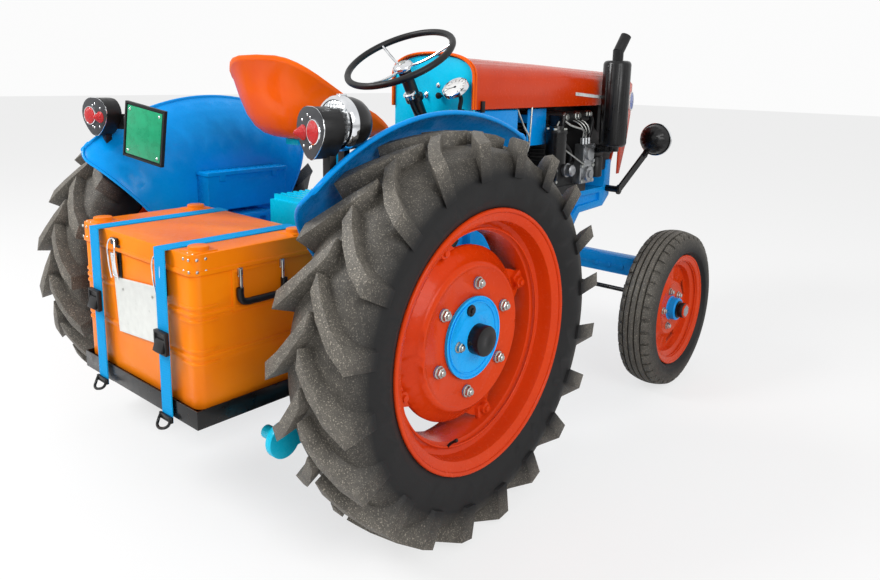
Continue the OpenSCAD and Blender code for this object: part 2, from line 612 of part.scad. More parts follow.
hub_z = 1316;
module steering_wheel() color(black) translate([0, hub_y, hub_z]) rotate([steer_tilt, 0, 0]) {
  rotate_extrude() translate([steer_r - steer_rim_d/2, 0]) circle(d = steer_rim_d);
  translate([0, 0, -wheel_hub_h]) cylinder(h = wheel_hub_h + 12, r = 30);
  for (a = [90, 210, 330]) rotate([0, 0, a]) rotate([0, 90, 0]) cylinder(h = steer_r - steer_rim_d + 4, r = 6);
}
wheel_hub_h = 34;        // from the middle of the steering wheel down to its hub's end
module steering_shaft(r) translate([0, hub_y, hub_z]) rotate([steer_tilt, 0, 0])
  translate([0, 0, -440]) cylinder(h = 440 - wheel_hub_h - seat_gap, r = r);
module steering_column() color(black) {
  steering_shaft(24);
  translate([0, hub_y, hub_z]) rotate([steer_tilt, 0, 0]) translate([0, 0, -172])
    cylinder(h = 16, r = 34);
  wide(52, bell_y - 130, bell_y - seat_gap, tunnel_z + seat_gap, 950);
}

// Seat: a bowl whose rim climbs from the front tips to the back
pan_z = 1052;
seat_y = 26;
seat_l = 198;
function seat_out(a) = [seat_hw*sign(cos(a))*pow(abs(cos(a)), 0.6), seat_l*sign(sin(a))*pow(abs(sin(a)), 0.8)];
function seat_rise(a) = let (s = (1 - sin(a))/2) seat_back_h*pow(s, 1.3);
function seat_point(a, t, lift, grow) = let (o = seat_out(a), k = grow*pow(t, 0.6))
  [o[0]*k, seat_y + o[1]*k, pan_z + lift + seat_rise(a)*pow(t, 3.2)];
seat_n = 36;
seat_m = 7;
// its rings from the middle outwards, round the rolled rim and back below, as [t, lift, grow]
seat_rings = concat([for (j = [1:seat_m]) [j/seat_m, seat_t, 1]],
  [[1, seat_t + 6, 1.015], [1, seat_t + 5, 1.045], [1, -3, 1.05], [1, -7, 1.03]],
  [for (j = [seat_m - 1:-1:1]) [j/seat_m, 0, 1.025]]);
// Two triangles for each cell between ring j and the next, of n points each
function ring_strip(n, j) = [for (i = [0:n - 1], k = [0, 1]) let (i2 = (i + 1) % n,
  a = j*n + i, b = j*n + i2, c = (j + 1)*n + i2, d = (j + 1)*n + i) k == 0 ? [a, b, c] : [a, c, d]];
module seat() color(amber) {
  n = seat_n;
  m = len(seat_rings);
  polyhedron(
    concat([for (r = seat_rings, i = [0:n - 1]) seat_point(i*360/n, r[0], r[1], r[2])],
      [[0, seat_y, pan_z + seat_t], [0, seat_y, pan_z]]),
    concat([for (j = [0:m - 2]) each ring_strip(n, j)],
      [for (i = [0:n - 1]) [m*n, (i + 1) % n, i]],
      [for (i = [0:n - 1]) [m*n + 1, (m - 1)*n + i, (m - 1)*n + (i + 1) % n]]));
}
module seat_spring() color(cyan) {
  wide(30, -50, 120, pan_z - 18, pan_z - seat_gap);
  along_x() translate([0, 0, -22]) linear_extrude(44)
    polygon([[90, pan_z - 17], [120, pan_z - 17], [230, 880], [230, tunnel_z + seat_gap],
             [200, tunnel_z + seat_gap], [200, 870]]);
}

// Fenders: an upright inner side that bends outwards up to a rolled edge
fender_y = 30;           // the edge's arc is centred here
fender_z = rear_z - 170;
fender_out_x = rear_track/2 - fender_off;
fender_in_x = fender_out_x - fender_w;
fender_rear_a = 130.5;   // its ends, above +Y
fender_front_a = 59.5;
fender_low_z = 680;      // lower edge of the inner side
hem_r = 7;               // roundness of the rolled edge
corner_r = 60;           // roundness of the corners in the flare
flare_a = acos(1 - fender_w/flare_r);
flare_z = fender_r - flare_r*sin(flare_a);   // radius at which the bend starts
// Section as [radius, x], lift above the upper face
function flare(lift) = concat([[fender_low_z - fender_z - 80, fender_in_x - lift]],
  [for (k = [0:7]) let (a = k*flare_a/7)
    [flare_z + (flare_r + lift)*sin(a), fender_in_x + flare_r - (flare_r + lift)*cos(a)]]);
function backwards(pts) = [for (i = [len(pts) - 1:-1:0]) pts[i]];
module about_fender(a) translate([0, fender_y, fender_z]) at_angle(a) children();
module fender() color(blue) difference() {
  translate([0, fender_y, fender_z]) turn_x(fender_front_a, fender_rear_a) {
    polygon(concat(flare(0), backwards(flare(-sheet))));
    translate([fender_r - 2, fender_out_x]) circle(r = hem_r);
  }
  block(fender_in_x - 1, fender_in_x + 60, -fender_r, fender_r, 0, fender_low_z);
  // round corners at both ends of the edge
  for (e = [[fender_rear_a, 0], [fender_front_a, 1]]) about_fender(e[0]) mirror([0, e[1], 0])
    difference() {
      translate([fender_out_x - corner_r + hem_r + 1, -2, 600]) cube([corner_r + 10, corner_r + 1, 250]);
      translate([fender_out_x - corner_r + hem_r + 1, corner_r - 1, 599]) cylinder(h = 252, r = corner_r);
    }
}
// cuts the foot of a bracket to the fender's upper face
module on_flare() difference() {
  children();
  translate([0, fender_y, fender_z]) turn_x(fender_front_a, fender_rear_a)
    polygon(concat(flare(seat_gap), [[100, fender_out_x], [100, fender_in_x - seat_gap]]));
}
module tool_locker() color(blue)
{
  x = -fender_in_x + seat_gap;
  block(x, x + 70, -135, 192, 778, 908);
  // lid with its turned edge
  block(x, x + 76, -139, 196, 900, 914);
  for (y = [-80, 140]) block(x + 69, x + 76, y - 12, y + 12, 880, 901);
}
module footboards() color(black) both_sides() {
  block(box_hw + seat_gap, 340, 330, 620, 452, 462);
  block(box_hw + seat_gap, 200, 380, 420, 462, 500);
}

// Exhaust and lamps

muffler_x = 268;
muffler_y = engine_end_y + 15;
module muffler() color(black) {
  translate([muffler_x, muffler_y, 0]) {
    rotate_extrude() polygon(concat([[0, 952], [44, 952]], [for (a = [-60:30:0]) [44 + 18*cos(a), 970 + 18*sin(a)]],
      [for (a = [0:30:90]) [44 + 18*cos(a), 1320 + 18*sin(a)]], [[0, 1338]]));
    // folded seam
    rotate([0, 0, -104]) block(60, 68, -1.5, 1.5, 978, 1312);
    rod_z(930, 953, 0, 0, 30);
    difference() {
      union() {
        rod_z(1337, 1386, 0, 0, 24);
        bar([0, 0, 1376], [10, 44, 1448], 24);
      }
      rod_z(1345, 1384, 0, 0, 20.5);
      bar([0, 0, 1376], [12, 53, 1463], 20.5);
    }
  }
  bar([fan_r + seat_gap, muffler_y, fan_z + 4], [muffler_x - 6, muffler_y, fan_z + 12], 20);
}
module headlamps() color(black) both_sides() {
  y = support_end_y - 30;
  bar([engine_hw + seat_gap, y, 725], [226, y, 725], 16);
  // flat arm up to the lamp
  rod_x(212, 222, y, 725, 24);
  flat_bar([217, y, 725], [295, y + 100, 900], 40, 10, -57.7);
  rod_x(290, 300, y + 100, 900, 20);
  bar([295, y + 96, 896], [326, y + 106, 944], 12);
  translate([330, y + 115, 972]) rotate([-90, 0, 0])
    rotate_extrude() polygon([[0, -58], [14, -58], [38, -50], [62, -28], [74, 8], [76, 20], [0, 20]]);
}
lamp_x = fender_out_x - 42;      // middle of the tail lamps' plates
lamp_y = fender_y - (fender_r + 82)*cos(58.2);
lamp_z = fender_z + (fender_r + 82)*sin(58.2);
lamp_lift = [-14, 7];    // the left lamp sits lower than the right one
lamp_yaw = 10;           // they look a little inwards
lamp_t = 56;             // depth of their housings
lamp_foot_y = lamp_y + lamp_t - 22;
// A tail lamp's own place, side 0 left and 1 right: u outwards along its plate, z to the rear
module at_lamp(side) mirror([1 - side, 0, 0]) translate([lamp_x, lamp_y, lamp_z + lamp_lift[side]])
  rotate([0, 0, -lamp_yaw]) rotate([90, 0, 0]) children();
function arc_at(u, v, r, a0, a1, n) = [for (k = [0:n]) let (a = a0 + k*(a1 - a0)/n) [u + r*cos(a), v + r*sin(a)]];
// Rounded triangle, point down
module lamp_outline(in) polygon(concat(arc_at(15, 16, 46 - in, 13, 90, 4),
  arc_at(-15, 16, 46 - in, 90, 167, 4), arc_at(0, -45, 18 - in, 167, 373, 6)));
module tail_lamps() color(black) for (side = [0, 1]) {
  at_lamp(side) {
    translate([0, 0, -lamp_t]) linear_extrude(lamp_t - 3) lamp_outline(2);
    translate([0, 0, -4]) linear_extrude(4) lamp_outline(0);
    translate([-31, 0, -1]) cylinder(h = 24, r1 = 16, r2 = 4);
  }
  mirror([1 - side, 0, 0]) on_flare()
    block(lamp_x + 2, lamp_x + 27, lamp_foot_y, lamp_foot_y + 20, lamp_z - 190, lamp_z - 45);
}
module work_lamp() color(black) {
  x = fender_out_x - 32;
  y = lamp_y + 101;
  z = lamp_z + 27;
  translate([x, y, z]) rotate([-90, 0, 0])
    rotate_extrude() polygon([[0, -30], [60, -30], [62, -22], [52, 12], [24, 34], [0, 34]]);
  on_flare() block(x - 32, x - 10, y + 2, y + 20, z - 150, z - 45);
}
plate_w = 170;           // number plate, with the frame round it
plate_u = -285;          // its middle, from the left lamp's own
module side_plate() color(black) {
  translate([-lamp_x - plate_u, lamp_y + 19, lamp_z - 50]) rotate([0, 0, 12]) rotate([0, 9, 0])
    cube([plate_w, 8, plate_w], center = true);
  // bent strip behind the left lamp
  at_lamp(0) translate([0, -40, 0]) rotate([-90, 0, 0]) linear_extrude(50)
    polygon([[-6, lamp_t + seat_gap], [-6, lamp_t + 5], [-80, lamp_t + 5], [-182, -16], [-232, -18],
             [-232, -32], [-186, -30], [-78, lamp_t + seat_gap]]);
}

// Carrier, box and hitch

tray_t = 4;
tray_z = case_low_z - 44; // underside of the tray
module carrier() color(black) {
  x = case_w/2 + 12;
  y0 = case_rear_y - 12;
  y1 = case_y + case_d/2 + 12;
  difference() {
    wide(x, y0, y1, tray_z, case_low_z + 6);
    wide(x - tray_t, y0 + tray_t, y1 - tray_t, tray_z + tray_t, case_low_z + 7);
  }
  both_sides() {
    block(60, 100, y0 + tray_t, y1 - tray_t, tray_z + tray_t - 1, case_low_z - seat_gap);
    // bearers from the drawbar
    block(60, 100, y0 + 60, drawbar_y0 - seat_gap, tray_z - 28, tray_z + 1);
  }
}
// a rectangle with round corners, about the middle of the box
module box_outline(grow, r) translate([0, case_y]) {
  w = case_w + 2*grow;
  d = case_d + 2*grow;
  square([w - 2*r, d], center = true);
  square([w, d - 2*r], center = true);
  for (sx = [-1, 1], sy = [-1, 1]) translate([sx*(w/2 - r), sy*(d/2 - r)]) circle(r);
}
bead_out = 3;            // the pressed beads stand out this far
module case_bead(z, h, at_corners) translate([0, 0, z]) linear_extrude(h) difference() {
  box_outline(bead_out, case_corner_r + bead_out);
  box_outline(-1, case_corner_r - 1);
  if (at_corners) translate([0, case_y]) {
    square([case_w - 130, 2*case_d], center = true);
    square([2*case_w, case_d - 130], center = true);
  }
}
module case_body() color(orange) {
  difference() {
    translate([0, 0, case_low_z]) linear_extrude(case_h) box_outline(0, case_corner_r);
    translate([0, 0, case_low_z + case_wall]) linear_extrude(case_h)
      box_outline(-case_wall, case_corner_r - case_wall);
  }
  for (k = [0.39, 0.71]) {
    z = case_low_z + k*case_h;
    case_bead(z - 5, 10, false);
    for (dz = [-22, 14]) case_bead(z + dz, 8, true);
  }
}
module case_lid() color(orange) {
  z0 = case_low_z + case_h + seat_gap;
  difference() {
    union() {
      translate([0, 0, z0]) linear_extrude(lid_h) box_outline(lid_over, case_corner_r + lid_over);
      translate([0, 0, z0]) linear_extrude(12) box_outline(lid_over + 3, case_corner_r + lid_over + 3);
    }
    translate([0, 0, z0 - 1]) linear_extrude(lid_h - case_wall + 1)
      box_outline(-case_wall, case_corner_r - case_wall);
  }
  // stacking corners
  for (sx = [-1, 1], sy = [-1, 1]) translate([sx*256, case_y + sy*152, z0 + lid_h - 1]) {
    cylinder(h = 14, r = 26);
    translate([-34, -34, 0]) cube([68, 68, 4]);
  }
}
latch_x = 130;
module case_fittings() color(steel) {
  y1 = case_rear_y - lid_over - 3 - seat_gap;
  for (sx = [-1, 1]) {
    block(sx*latch_x - 18, sx*latch_x + 18, y1 - 3, y1, 700, 790);
    block(sx*latch_x - 12, sx*latch_x + 12, y1 - latch_t + 3, y1 - 2, 706, 772);
    for (dx = [-15, 15]) rod_z(690, 780, sx*latch_x + dx, y1 - 5, 2.5);
    rod_x(sx*latch_x - 17, sx*latch_x + 17, y1 - 5, 782, 2.5);
  }
  both_sides() {
    // handle: plate, two links and a grip that hangs down
    block(case_w/2 + seat_gap, case_w/2 + 4, case_y - 75, case_y + 75, 668, 756);
    for (dy = [-66, 66]) rod_z(655, 745, case_w/2 + 13, case_y + dy, 4);
    for (dy = [-66, 66]) block(case_w/2 + 3, case_w/2 + 15, case_y + dy - 7, case_y + dy + 7, 735, 750);
    rod_y(case_y - 72, case_y + 72, case_w/2 + 13, 655, 9);
  }
}
module case_straps() color(blue) for (sx = [-1, 1]) {
  z1 = case_low_z + case_h + lid_h + 2*seat_gap;
  x = sx*strap_x;
  y0 = strap_back_y;
  y1 = case_y + case_d/2 + lid_over + 3 + seat_gap;
  block(x - strap_w/2, x + strap_w/2, y0 - strap_t, y1 + strap_t, z1, z1 + strap_t);
  block(x - strap_w/2, x + strap_w/2, y0 - strap_t, y0, tray_z - 12, z1 + 1);
  block(x - strap_w/2, x + strap_w/2, y1, y1 + strap_t, case_low_z + 10, z1 + 1);
}
hitch_z = 322;
drawbar_y0 = -10;
drawbar_z = rear_z - 225;
drawbar_t = 25;
hitch_y = -432;
module hitch_arms() color(cyan) {
  both_sides() {
    rod_x(418, 440, hitch_y, hitch_z, eye_r);
    rod_x(358, 419, hitch_y, hitch_z, stub_d/2);
    along_x() translate([0, 0, 420]) linear_extrude(18)
      polygon([[hitch_y, hitch_z - 30], [60, rear_z - 230], [60, rear_z - 175], [hitch_y, hitch_z + 30]]);
    block(300, 438, 0, 60, rear_z - 230, rear_z - 175);
    block(300, 345, -40, 60, rear_z - 230, rear_z - trumpet_r - seat_gap);
  }
  difference() {
    wide(301, drawbar_y0, 60, drawbar_z, drawbar_z + drawbar_t);
    rod_z(drawbar_z - 1, drawbar_z + drawbar_t + 1, 0, drawbar_y0 + 35, pin_d/2);
  }
}

own_place() gearbox();
own_place() rear_axle();
own_place() lift_housing();
own_place() engine();
own_place() engine_filter();
own_place() side_cover();
own_place() engine_pipes();
own_place() air_guide();
own_place() fan_housing();
own_place() front_support();
own_place() front_axle_beam();
own_place() bonnet();
own_place() nose_cowl();
own_place() grille();
own_place() fuel_tank();
own_place() dash_panel();
own_place() dash_gauge();
own_place() steering_column();
own_place() steering_wheel();
own_place() seat();
own_place() seat_spring();
own_place() mirror([1, 0, 0]) fender();  // fender_left
own_place() fender();  // fender_right
own_place() tool_locker();
own_place() footboards();
own_place() muffler();
own_place() headlamps();
own_place() tail_lamps();
own_place() work_lamp();
own_place() side_plate();
own_place() carrier();
own_place() case_body();
own_place() case_lid();
own_place() case_fittings();
own_place() case_straps();
own_place() hitch_arms();
own_place() at_rear(-1) rear_tyre();  // rear_tyre_left
own_place() at_rear(1) rear_tyre();  // rear_tyre_right
own_place() at_rear(-1) rear_rim();  // rear_rim_left
own_place() at_rear(1) rear_rim();  // rear_rim_right
own_place() at_rear(-1) rear_hub();  // rear_hub_left
own_place() at_rear(1) rear_hub();  // rear_hub_right
own_place() at_front(-1) front_tyre();  // front_tyre_left
own_place() at_front(1) front_tyre();  // front_tyre_right
own_place() at_front(-1) front_rim();  // front_rim_left
own_place() at_front(1) front_rim();  // front_rim_right
own_place() mirror([1, 0, 0]) knuckle();  // knuckle_left
own_place() knuckle();  // knuckle_right
own_place() tie_rod();
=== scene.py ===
import bpy, bmesh, json
from math import sin, cos, acos, pi, radians
from mathutils import Vector, Matrix


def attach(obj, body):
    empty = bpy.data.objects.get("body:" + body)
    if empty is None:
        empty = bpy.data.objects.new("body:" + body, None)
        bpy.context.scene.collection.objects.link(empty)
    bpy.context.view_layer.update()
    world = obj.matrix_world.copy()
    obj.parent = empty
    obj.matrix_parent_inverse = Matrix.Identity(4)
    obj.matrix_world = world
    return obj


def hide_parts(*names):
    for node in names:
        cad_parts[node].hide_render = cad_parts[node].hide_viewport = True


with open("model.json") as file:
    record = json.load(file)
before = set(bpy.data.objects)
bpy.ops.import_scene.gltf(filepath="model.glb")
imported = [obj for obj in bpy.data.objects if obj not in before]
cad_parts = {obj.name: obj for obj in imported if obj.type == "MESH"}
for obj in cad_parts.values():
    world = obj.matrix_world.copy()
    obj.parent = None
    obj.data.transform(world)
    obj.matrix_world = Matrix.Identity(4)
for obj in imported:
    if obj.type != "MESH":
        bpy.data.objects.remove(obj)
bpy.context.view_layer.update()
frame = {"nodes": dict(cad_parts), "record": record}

# row y of the rear axle: everything on the tractor is measured from there
axleY = -0.6772


def at(x, y, z):
    # a point given from the middle, the rear axle and the ground
    return Vector((x, y + axleY, z))


def spot(x, y, z):
    # the same, in mm
    return Vector((x / 1000, y / 1000 + axleY, z / 1000))


# Camera

camera = {"place": (1.8825, -1.5233, 1.2680), "yaw": 0.70715, "pitch": 0.195155, "roll": 0.02177,
          "lens": 30.221, "shiftX": 0.0002, "shiftY": -0.08099}


def addCamera():
    c = camera
    forward = Vector((-sin(c["yaw"]) * cos(c["pitch"]), cos(c["yaw"]) * cos(c["pitch"]), -sin(c["pitch"])))
    right = Vector((cos(c["yaw"]), sin(c["yaw"]), 0))
    up = right.cross(forward)
    right2 = right * cos(c["roll"]) + up * sin(c["roll"])
    up2 = up * cos(c["roll"]) - right * sin(c["roll"])
    data = bpy.data.cameras.new("viewCamera")
    data.lens = c["lens"]
    data.sensor_width = 36
    data.shift_x = c["shiftX"]
    data.shift_y = c["shiftY"]
    data.clip_end = 60
    obj = bpy.data.objects.new("viewCamera", data)
    turn = Matrix((right2, up2, -forward)).transposed().to_4x4()
    obj.matrix_world = Matrix.Translation(at(*c["place"])) @ turn
    bpy.context.scene.collection.objects.link(obj)
    bpy.context.scene.camera = obj


addCamera()
bpy.context.scene.view_settings.view_transform = "Standard"


def linear(hexText):
    # sRGB hex to linear light
    parts = [int(hexText[i:i + 2], 16) / 255 for i in (1, 3, 5)]
    return tuple(p / 12.92 if p <= 0.04045 else ((p + 0.055) / 1.055) ** 2.4 for p in parts) + (1,)


def addNode(tree, kind, settings, links={}):
    node = tree.nodes.new("ShaderNode" + kind)
    for key, value in settings.items():
        if isinstance(key, int) or key in node.inputs:
            node.inputs[key].default_value = value
        else:
            setattr(node, key, value)
    for key, source in links.items():
        tree.links.new(source, node.inputs[key])
    return node


def blankMaterial(name):
    material = bpy.data.materials.new(name)
    material.use_nodes = True
    tree = material.node_tree
    tree.nodes.clear()
    return material, tree


def objectPlace(tree):
    return addNode(tree, "TexCoord", {}).outputs["Object"]


def ramp(tree, source, stops):
    # stops are (place, hex colour)
    node = addNode(tree, "ValToRGB", {}, {"Fac": source})
    for element, (place, colour) in zip(node.color_ramp.elements, stops):
        element.position = place
        element.color = linear(colour)
    return node.outputs["Color"]


def noise(tree, place, scale, detail, roughness=0.5):
    settings = {"Scale": scale, "Detail": detail, "Roughness": roughness}
    return addNode(tree, "TexNoise", settings, {"Vector": place}).outputs["Fac"]


def wave(tree, place, scale, way, distortion=0.0):
    settings = {"Scale": scale, "Distortion": distortion, "bands_direction": way}
    return addNode(tree, "TexWave", settings, {"Vector": place}).outputs["Fac"]


def spanned(tree, source, low, high, reach=(0.0, 1.0)):
    # the source's stretch from low to high, spread over reach
    settings = {"From Min": low, "From Max": high, "To Min": reach[0], "To Max": reach[1]}
    return addNode(tree, "MapRange", settings, {"Value": source}).outputs["Result"]


def combined(tree, operation, first, second):
    return addNode(tree, "Math", {"operation": operation}, {0: first, 1: second}).outputs[0]


def covered(tree, share, base, cover):
    # base, a hex colour or a socket, under a share of the hex colour cover
    settings, links = {"data_type": "RGBA", 7: linear(cover)}, {0: share}
    if isinstance(base, str):
        settings[6] = linear(base)
    else:
        links[6] = base
    return addNode(tree, "Mix", settings, links).outputs[2]


def bumped(tree, height, strength, distance=0.001):
    settings = {"Strength": strength, "Distance": distance}
    return addNode(tree, "Bump", settings, {"Height": height}).outputs["Normal"]


def finishMaterial(material, tree, settings, colour, bump, gloss=None):
    links = {"Base Color": colour, "Normal": bump}
    if gloss is not None:
        links["Roughness"] = gloss
    shader = addNode(tree, "BsdfPrincipled", settings, links)
    addNode(tree, "OutputMaterial", {}, {"Surface": shader.outputs["BSDF"]})
    return material


# dust thins out from height dustFull to height dustTop, in metres
enamel = {"dust": "#8d8577", "dustShare": 0.08, "dustFull": 0.15, "dustTop": 0.9, "cloud": 5.0, "speck": 60.0,
          "peel": 380.0, "peelStrength": 0.02, "coat": 0.06, "specular": 0.12}


def enamelPaint(name, colour, shade, rough=0.28):
    # sprayed alkyd enamel on pressed steel: even gloss, faint orange peel, road dust low down
    material, tree = blankMaterial(name)
    place = objectPlace(tree)
    tone = ramp(tree, noise(tree, place, enamel["cloud"], 4.0), [(0.30, shade), (0.62, colour)])
    specks = noise(tree, place, enamel["speck"], 6.0, 0.7)
    height = addNode(tree, "SeparateXYZ", {}, {"Vector": place}).outputs["Z"]
    low = spanned(tree, height, enamel["dustTop"], enamel["dustFull"], (0.0, enamel["dustShare"]))
    painted = covered(tree, combined(tree, "MULTIPLY", specks, low), tone, enamel["dust"])
    gloss = spanned(tree, specks, 0.35, 0.7, (rough - 0.06, rough + 0.08))
    bump = bumped(tree, noise(tree, place, enamel["peel"], 1.0), enamel["peelStrength"], 0.002)
    settings = {"IOR": 1.5, "Specular IOR Level": enamel["specular"], "Coat Weight": enamel["coat"],
                "Coat Roughness": 0.05}
    return finishMaterial(material, tree, settings, painted, bump, gloss)


def plainSurface(name, colour, shade, rough, metallic=0.0, bumpScale=300.0, bumpStrength=0.1, coat=0.0):
    # one-colour surface with a little cloudiness, for moulded, cast and plated parts
    material, tree = blankMaterial(name)
    place = objectPlace(tree)
    cloud = noise(tree, place, 40.0, 4.0)
    tone = ramp(tree, cloud, [(0.35, shade), (0.65, colour)])
    gloss = spanned(tree, cloud, 0.3, 0.7, (max(rough - 0.08, 0.03), rough + 0.08))
    bump = bumped(tree, noise(tree, place, bumpScale, 3.0), bumpStrength)
    settings = {"Metallic": metallic, "IOR": 1.5, "Specular IOR Level": 0.3, "Coat Weight": coat}
    return finishMaterial(material, tree, settings, tone, bump, gloss)


blueEnamel = enamelPaint("blueEnamel", "#0296e8", "#028adc")
# painted light: the tractor's one blue enamel again, drawn lighter as it looks in direct sunlight
sunlitBlueEnamel = enamelPaint("sunlitBlueEnamel", "#06cbee", "#04bce2")
azureEnamel = enamelPaint("azureEnamel", "#16aaf4", "#10a0ea")
redOrangeEnamel = enamelPaint("redOrangeEnamel", "#d33c05", "#c93503", rough=0.24)
seatEnamel = enamelPaint("seatEnamel", "#f4660c", "#ec5a08", rough=0.2)
# aluminium transport box sprayed with a flatter enamel
boxEnamel = enamelPaint("boxEnamel", "#f58404", "#ee7602", rough=0.34)
blackEnamel = plainSurface("blackEnamel", "#101011", "#0b0b0c", 0.32, coat=0.1, bumpStrength=0.03)
castIron = plainSurface("castIron", "#1c1c1d", "#121213", 0.55, bumpScale=180, bumpStrength=0.3)
castAluminium = plainSurface("castAluminium", "#a9abad", "#8d8f91", 0.38, metallic=0.9, bumpScale=240,
                             bumpStrength=0.3)
moulding = plainSurface("blackMoulding", "#151516", "#0f0f10", 0.45, bumpStrength=0.06)
chromePlate = plainSurface("chromePlate", "#e6e8ea", "#d8dadd", 0.12, metallic=1.0, bumpStrength=0.01)
zincPlate = plainSurface("zincPlate", "#c3c5c2", "#a3a59f", 0.32, metallic=1.0, bumpStrength=0.1)
lampGrey = plainSurface("lampGreyMoulding", "#3c3d40", "#333437", 0.45, bumpStrength=0.05)
# stoved enamel on the plates and the trim
plateGreen = plainSurface("stovedGreenPlate", "#0f9c6c", "#0c8f62", 0.3, coat=0.2, bumpStrength=0.03)
plateWhite = plainSurface("stovedWhitePlate", "#d6d8d4", "#cdcfcb", 0.35, coat=0.2, bumpStrength=0.03)
badgeWhite = plainSurface("whiteEnamelTrim", "#e2e4e2", "#d4d6d4", 0.3, coat=0.2, bumpStrength=0.02)
noseBlue = plainSurface("royalBlueEnamel", "#1a4fb0", "#1645a0", 0.25, coat=0.3, bumpStrength=0.02)


def lampLens(name, colour, shade, metallic, rough, ribs):
    # moulded lens over a mirror: bright, and rippled by ribs that are ribs mm wide
    material, tree = blankMaterial(name)
    place = objectPlace(tree)
    scale = 314.0 / ribs
    ripple = combined(tree, "ADD", wave(tree, place, scale, "X"), wave(tree, place, scale, "Z"))
    tone = ramp(tree, ripple, [(0.2, shade), (0.9, colour)])
    settings = {"Metallic": metallic, "Roughness": rough, "Specular IOR Level": 0.35, "Coat Weight": 0.2,
                "Coat Roughness": 0.03}
    return finishMaterial(material, tree, settings, tone, bumped(tree, ripple, 0.5))


lensRed = lampLens("redAcrylicLens", "#c80812", "#8c0409", 0.0, 0.22, 3.0)
lampGlass = lampLens("pressedLampGlass", "#e8ebed", "#a4a9ad", 0.8, 0.2, 11.0)

# dust covers the tread and fades over fade metres of the side; grains are drawn 2 mm across to show
rubber = {"black": "#0e0e0f", "dust": "#8b857b", "grain": "#c2b9a9", "fade": 0.05, "dustShare": 0.8,
          "dustScale": 26.0, "grainScale": 290.0, "pores": 240.0}


def tyreRubber(name, axle, dustFrom):
    # carbon-black rubber, dulled by road dust on the tread; axle is (y, z), dustFrom a radius in metres
    material, tree = blankMaterial(name)
    place = objectPlace(tree)
    centred = addNode(tree, "VectorMath", {"operation": "SUBTRACT", 1: (0,) + axle}, {0: place})
    flat = addNode(tree, "VectorMath", {"operation": "MULTIPLY", 1: (0, 1, 1)}, {0: centred.outputs[0]})
    radius = addNode(tree, "VectorMath", {"operation": "LENGTH"}, {0: flat.outputs[0]}).outputs["Value"]
    tread = spanned(tree, radius, dustFrom - rubber["fade"], dustFrom + rubber["fade"], (0.0, rubber["dustShare"]))
    dusty = combined(tree, "MULTIPLY", noise(tree, place, rubber["dustScale"], 8.0, 0.72), tread)
    tone = covered(tree, dusty, rubber["black"], rubber["dust"])
    grains = spanned(tree, noise(tree, place, rubber["grainScale"], 2.0, 0.6), 0.56, 0.74)
    gritty = covered(tree, combined(tree, "MULTIPLY", grains, tread), tone, rubber["grain"])
    bump = bumped(tree, noise(tree, place, rubber["pores"], 4.0), 0.25)
    settings = {"Roughness": 0.6, "IOR": 1.52, "Specular IOR Level": 0.3}
    return finishMaterial(material, tree, settings, gritty, bump)


rearRubber = tyreRubber("rearTyreRubber", (axleY, 0.560), 0.505)
frontRubber = tyreRubber("frontTyreRubber", (axleY + 1.362, 0.325), 0.30)


def webbing(name, colour, shade):
    # woven polyester webbing, its yarns drawn 3 mm apart, coarser than real, to show
    material, tree = blankMaterial(name)
    place = objectPlace(tree)
    weave = combined(tree, "MULTIPLY", wave(tree, place, 100.0, "X", 0.4), wave(tree, place, 140.0, "DIAGONAL", 0.6))
    tone = ramp(tree, weave, [(0.0, shade), (0.8, colour)])
    settings = {"Roughness": 0.75, "Specular IOR Level": 0.15}
    return finishMaterial(material, tree, settings, tone, bumped(tree, weave, 0.5))


blueWebbing = webbing("blueWebbing", "#06b6ee", "#0486cc")

# each node's finish; those that are smoothed have their broken edge in mm, and their body if it moves
nodeFinish = {
    # the lift housing, dash panel, seat spring and hitch arms take the blue enamel with painted sunlight
    "gearbox": (blueEnamel, 4), "rear_axle": (blueEnamel, 3), "lift_housing": (sunlitBlueEnamel, 4),
    "engine": (castIron, 2), "engine_filter": (blackEnamel, 0.8), "side_cover": (castAluminium, 2),
    "engine_pipes": (zincPlate, 0), "air_guide": (blueEnamel, 1.5), "fan_housing": (castIron, 2),
    "front_support": (blueEnamel, 3), "front_axle_beam": (blueEnamel, 3), "bonnet": (redOrangeEnamel, 1.5),
    "nose_cowl": (redOrangeEnamel, 1.5), "grille": (redOrangeEnamel,), "fuel_tank": (blueEnamel, 6),
    "dash_panel": (sunlitBlueEnamel, 1), "dash_gauge": (blackEnamel,), "steering_column": (blackEnamel, 0.6),
    "steering_wheel": (moulding,), "seat": (seatEnamel, 0), "seat_spring": (sunlitBlueEnamel, 1.5),
    "fender_left": (blueEnamel, 1.2), "fender_right": (blueEnamel, 1.2), "tool_locker": (blueEnamel, 3),
    "footboards": (blackEnamel,), "muffler": (blackEnamel, 0), "headlamps": (blackEnamel, 0.8),
    "tail_lamps": (moulding, 1.5), "work_lamp": (moulding, 0.8), "side_plate": (moulding,),
    "carrier": (blackEnamel, 1.5), "case_body": (boxEnamel, 2), "case_lid": (boxEnamel, 2),
    "case_fittings": (zincPlate,), "case_straps": (blueWebbing,), "hitch_arms": (sunlitBlueEnamel, 3),
    "tie_rod": (blackEnamel,)}
for word in ("left", "right"):
    nodeFinish |= {
        "rear_tyre_" + word: (rearRubber, 2.5, "rear_wheel_" + word),
        "rear_rim_" + word: (redOrangeEnamel, 1, "rear_wheel_" + word),
        "rear_hub_" + word: (azureEnamel, 1.5, "rear_wheel_" + word),
        "front_tyre_" + word: (frontRubber, 2, "front_wheel_" + word),
        "front_rim_" + word: (redOrangeEnamel, 0.8, "front_wheel_" + word),
        "knuckle_" + word: (blackEnamel, 1.5, "knuckle_" + word)}
for name, obj in frame["nodes"].items():
    for slot in obj.material_slots:
        slot.material = nodeFinish[name][0]
print("materials on the CAD nodes")


# Pieces made one by one


def pickOnly(obj):
    bpy.ops.object.select_all(action="DESELECT")
    obj.select_set(True)
    bpy.context.view_layer.objects.active = obj


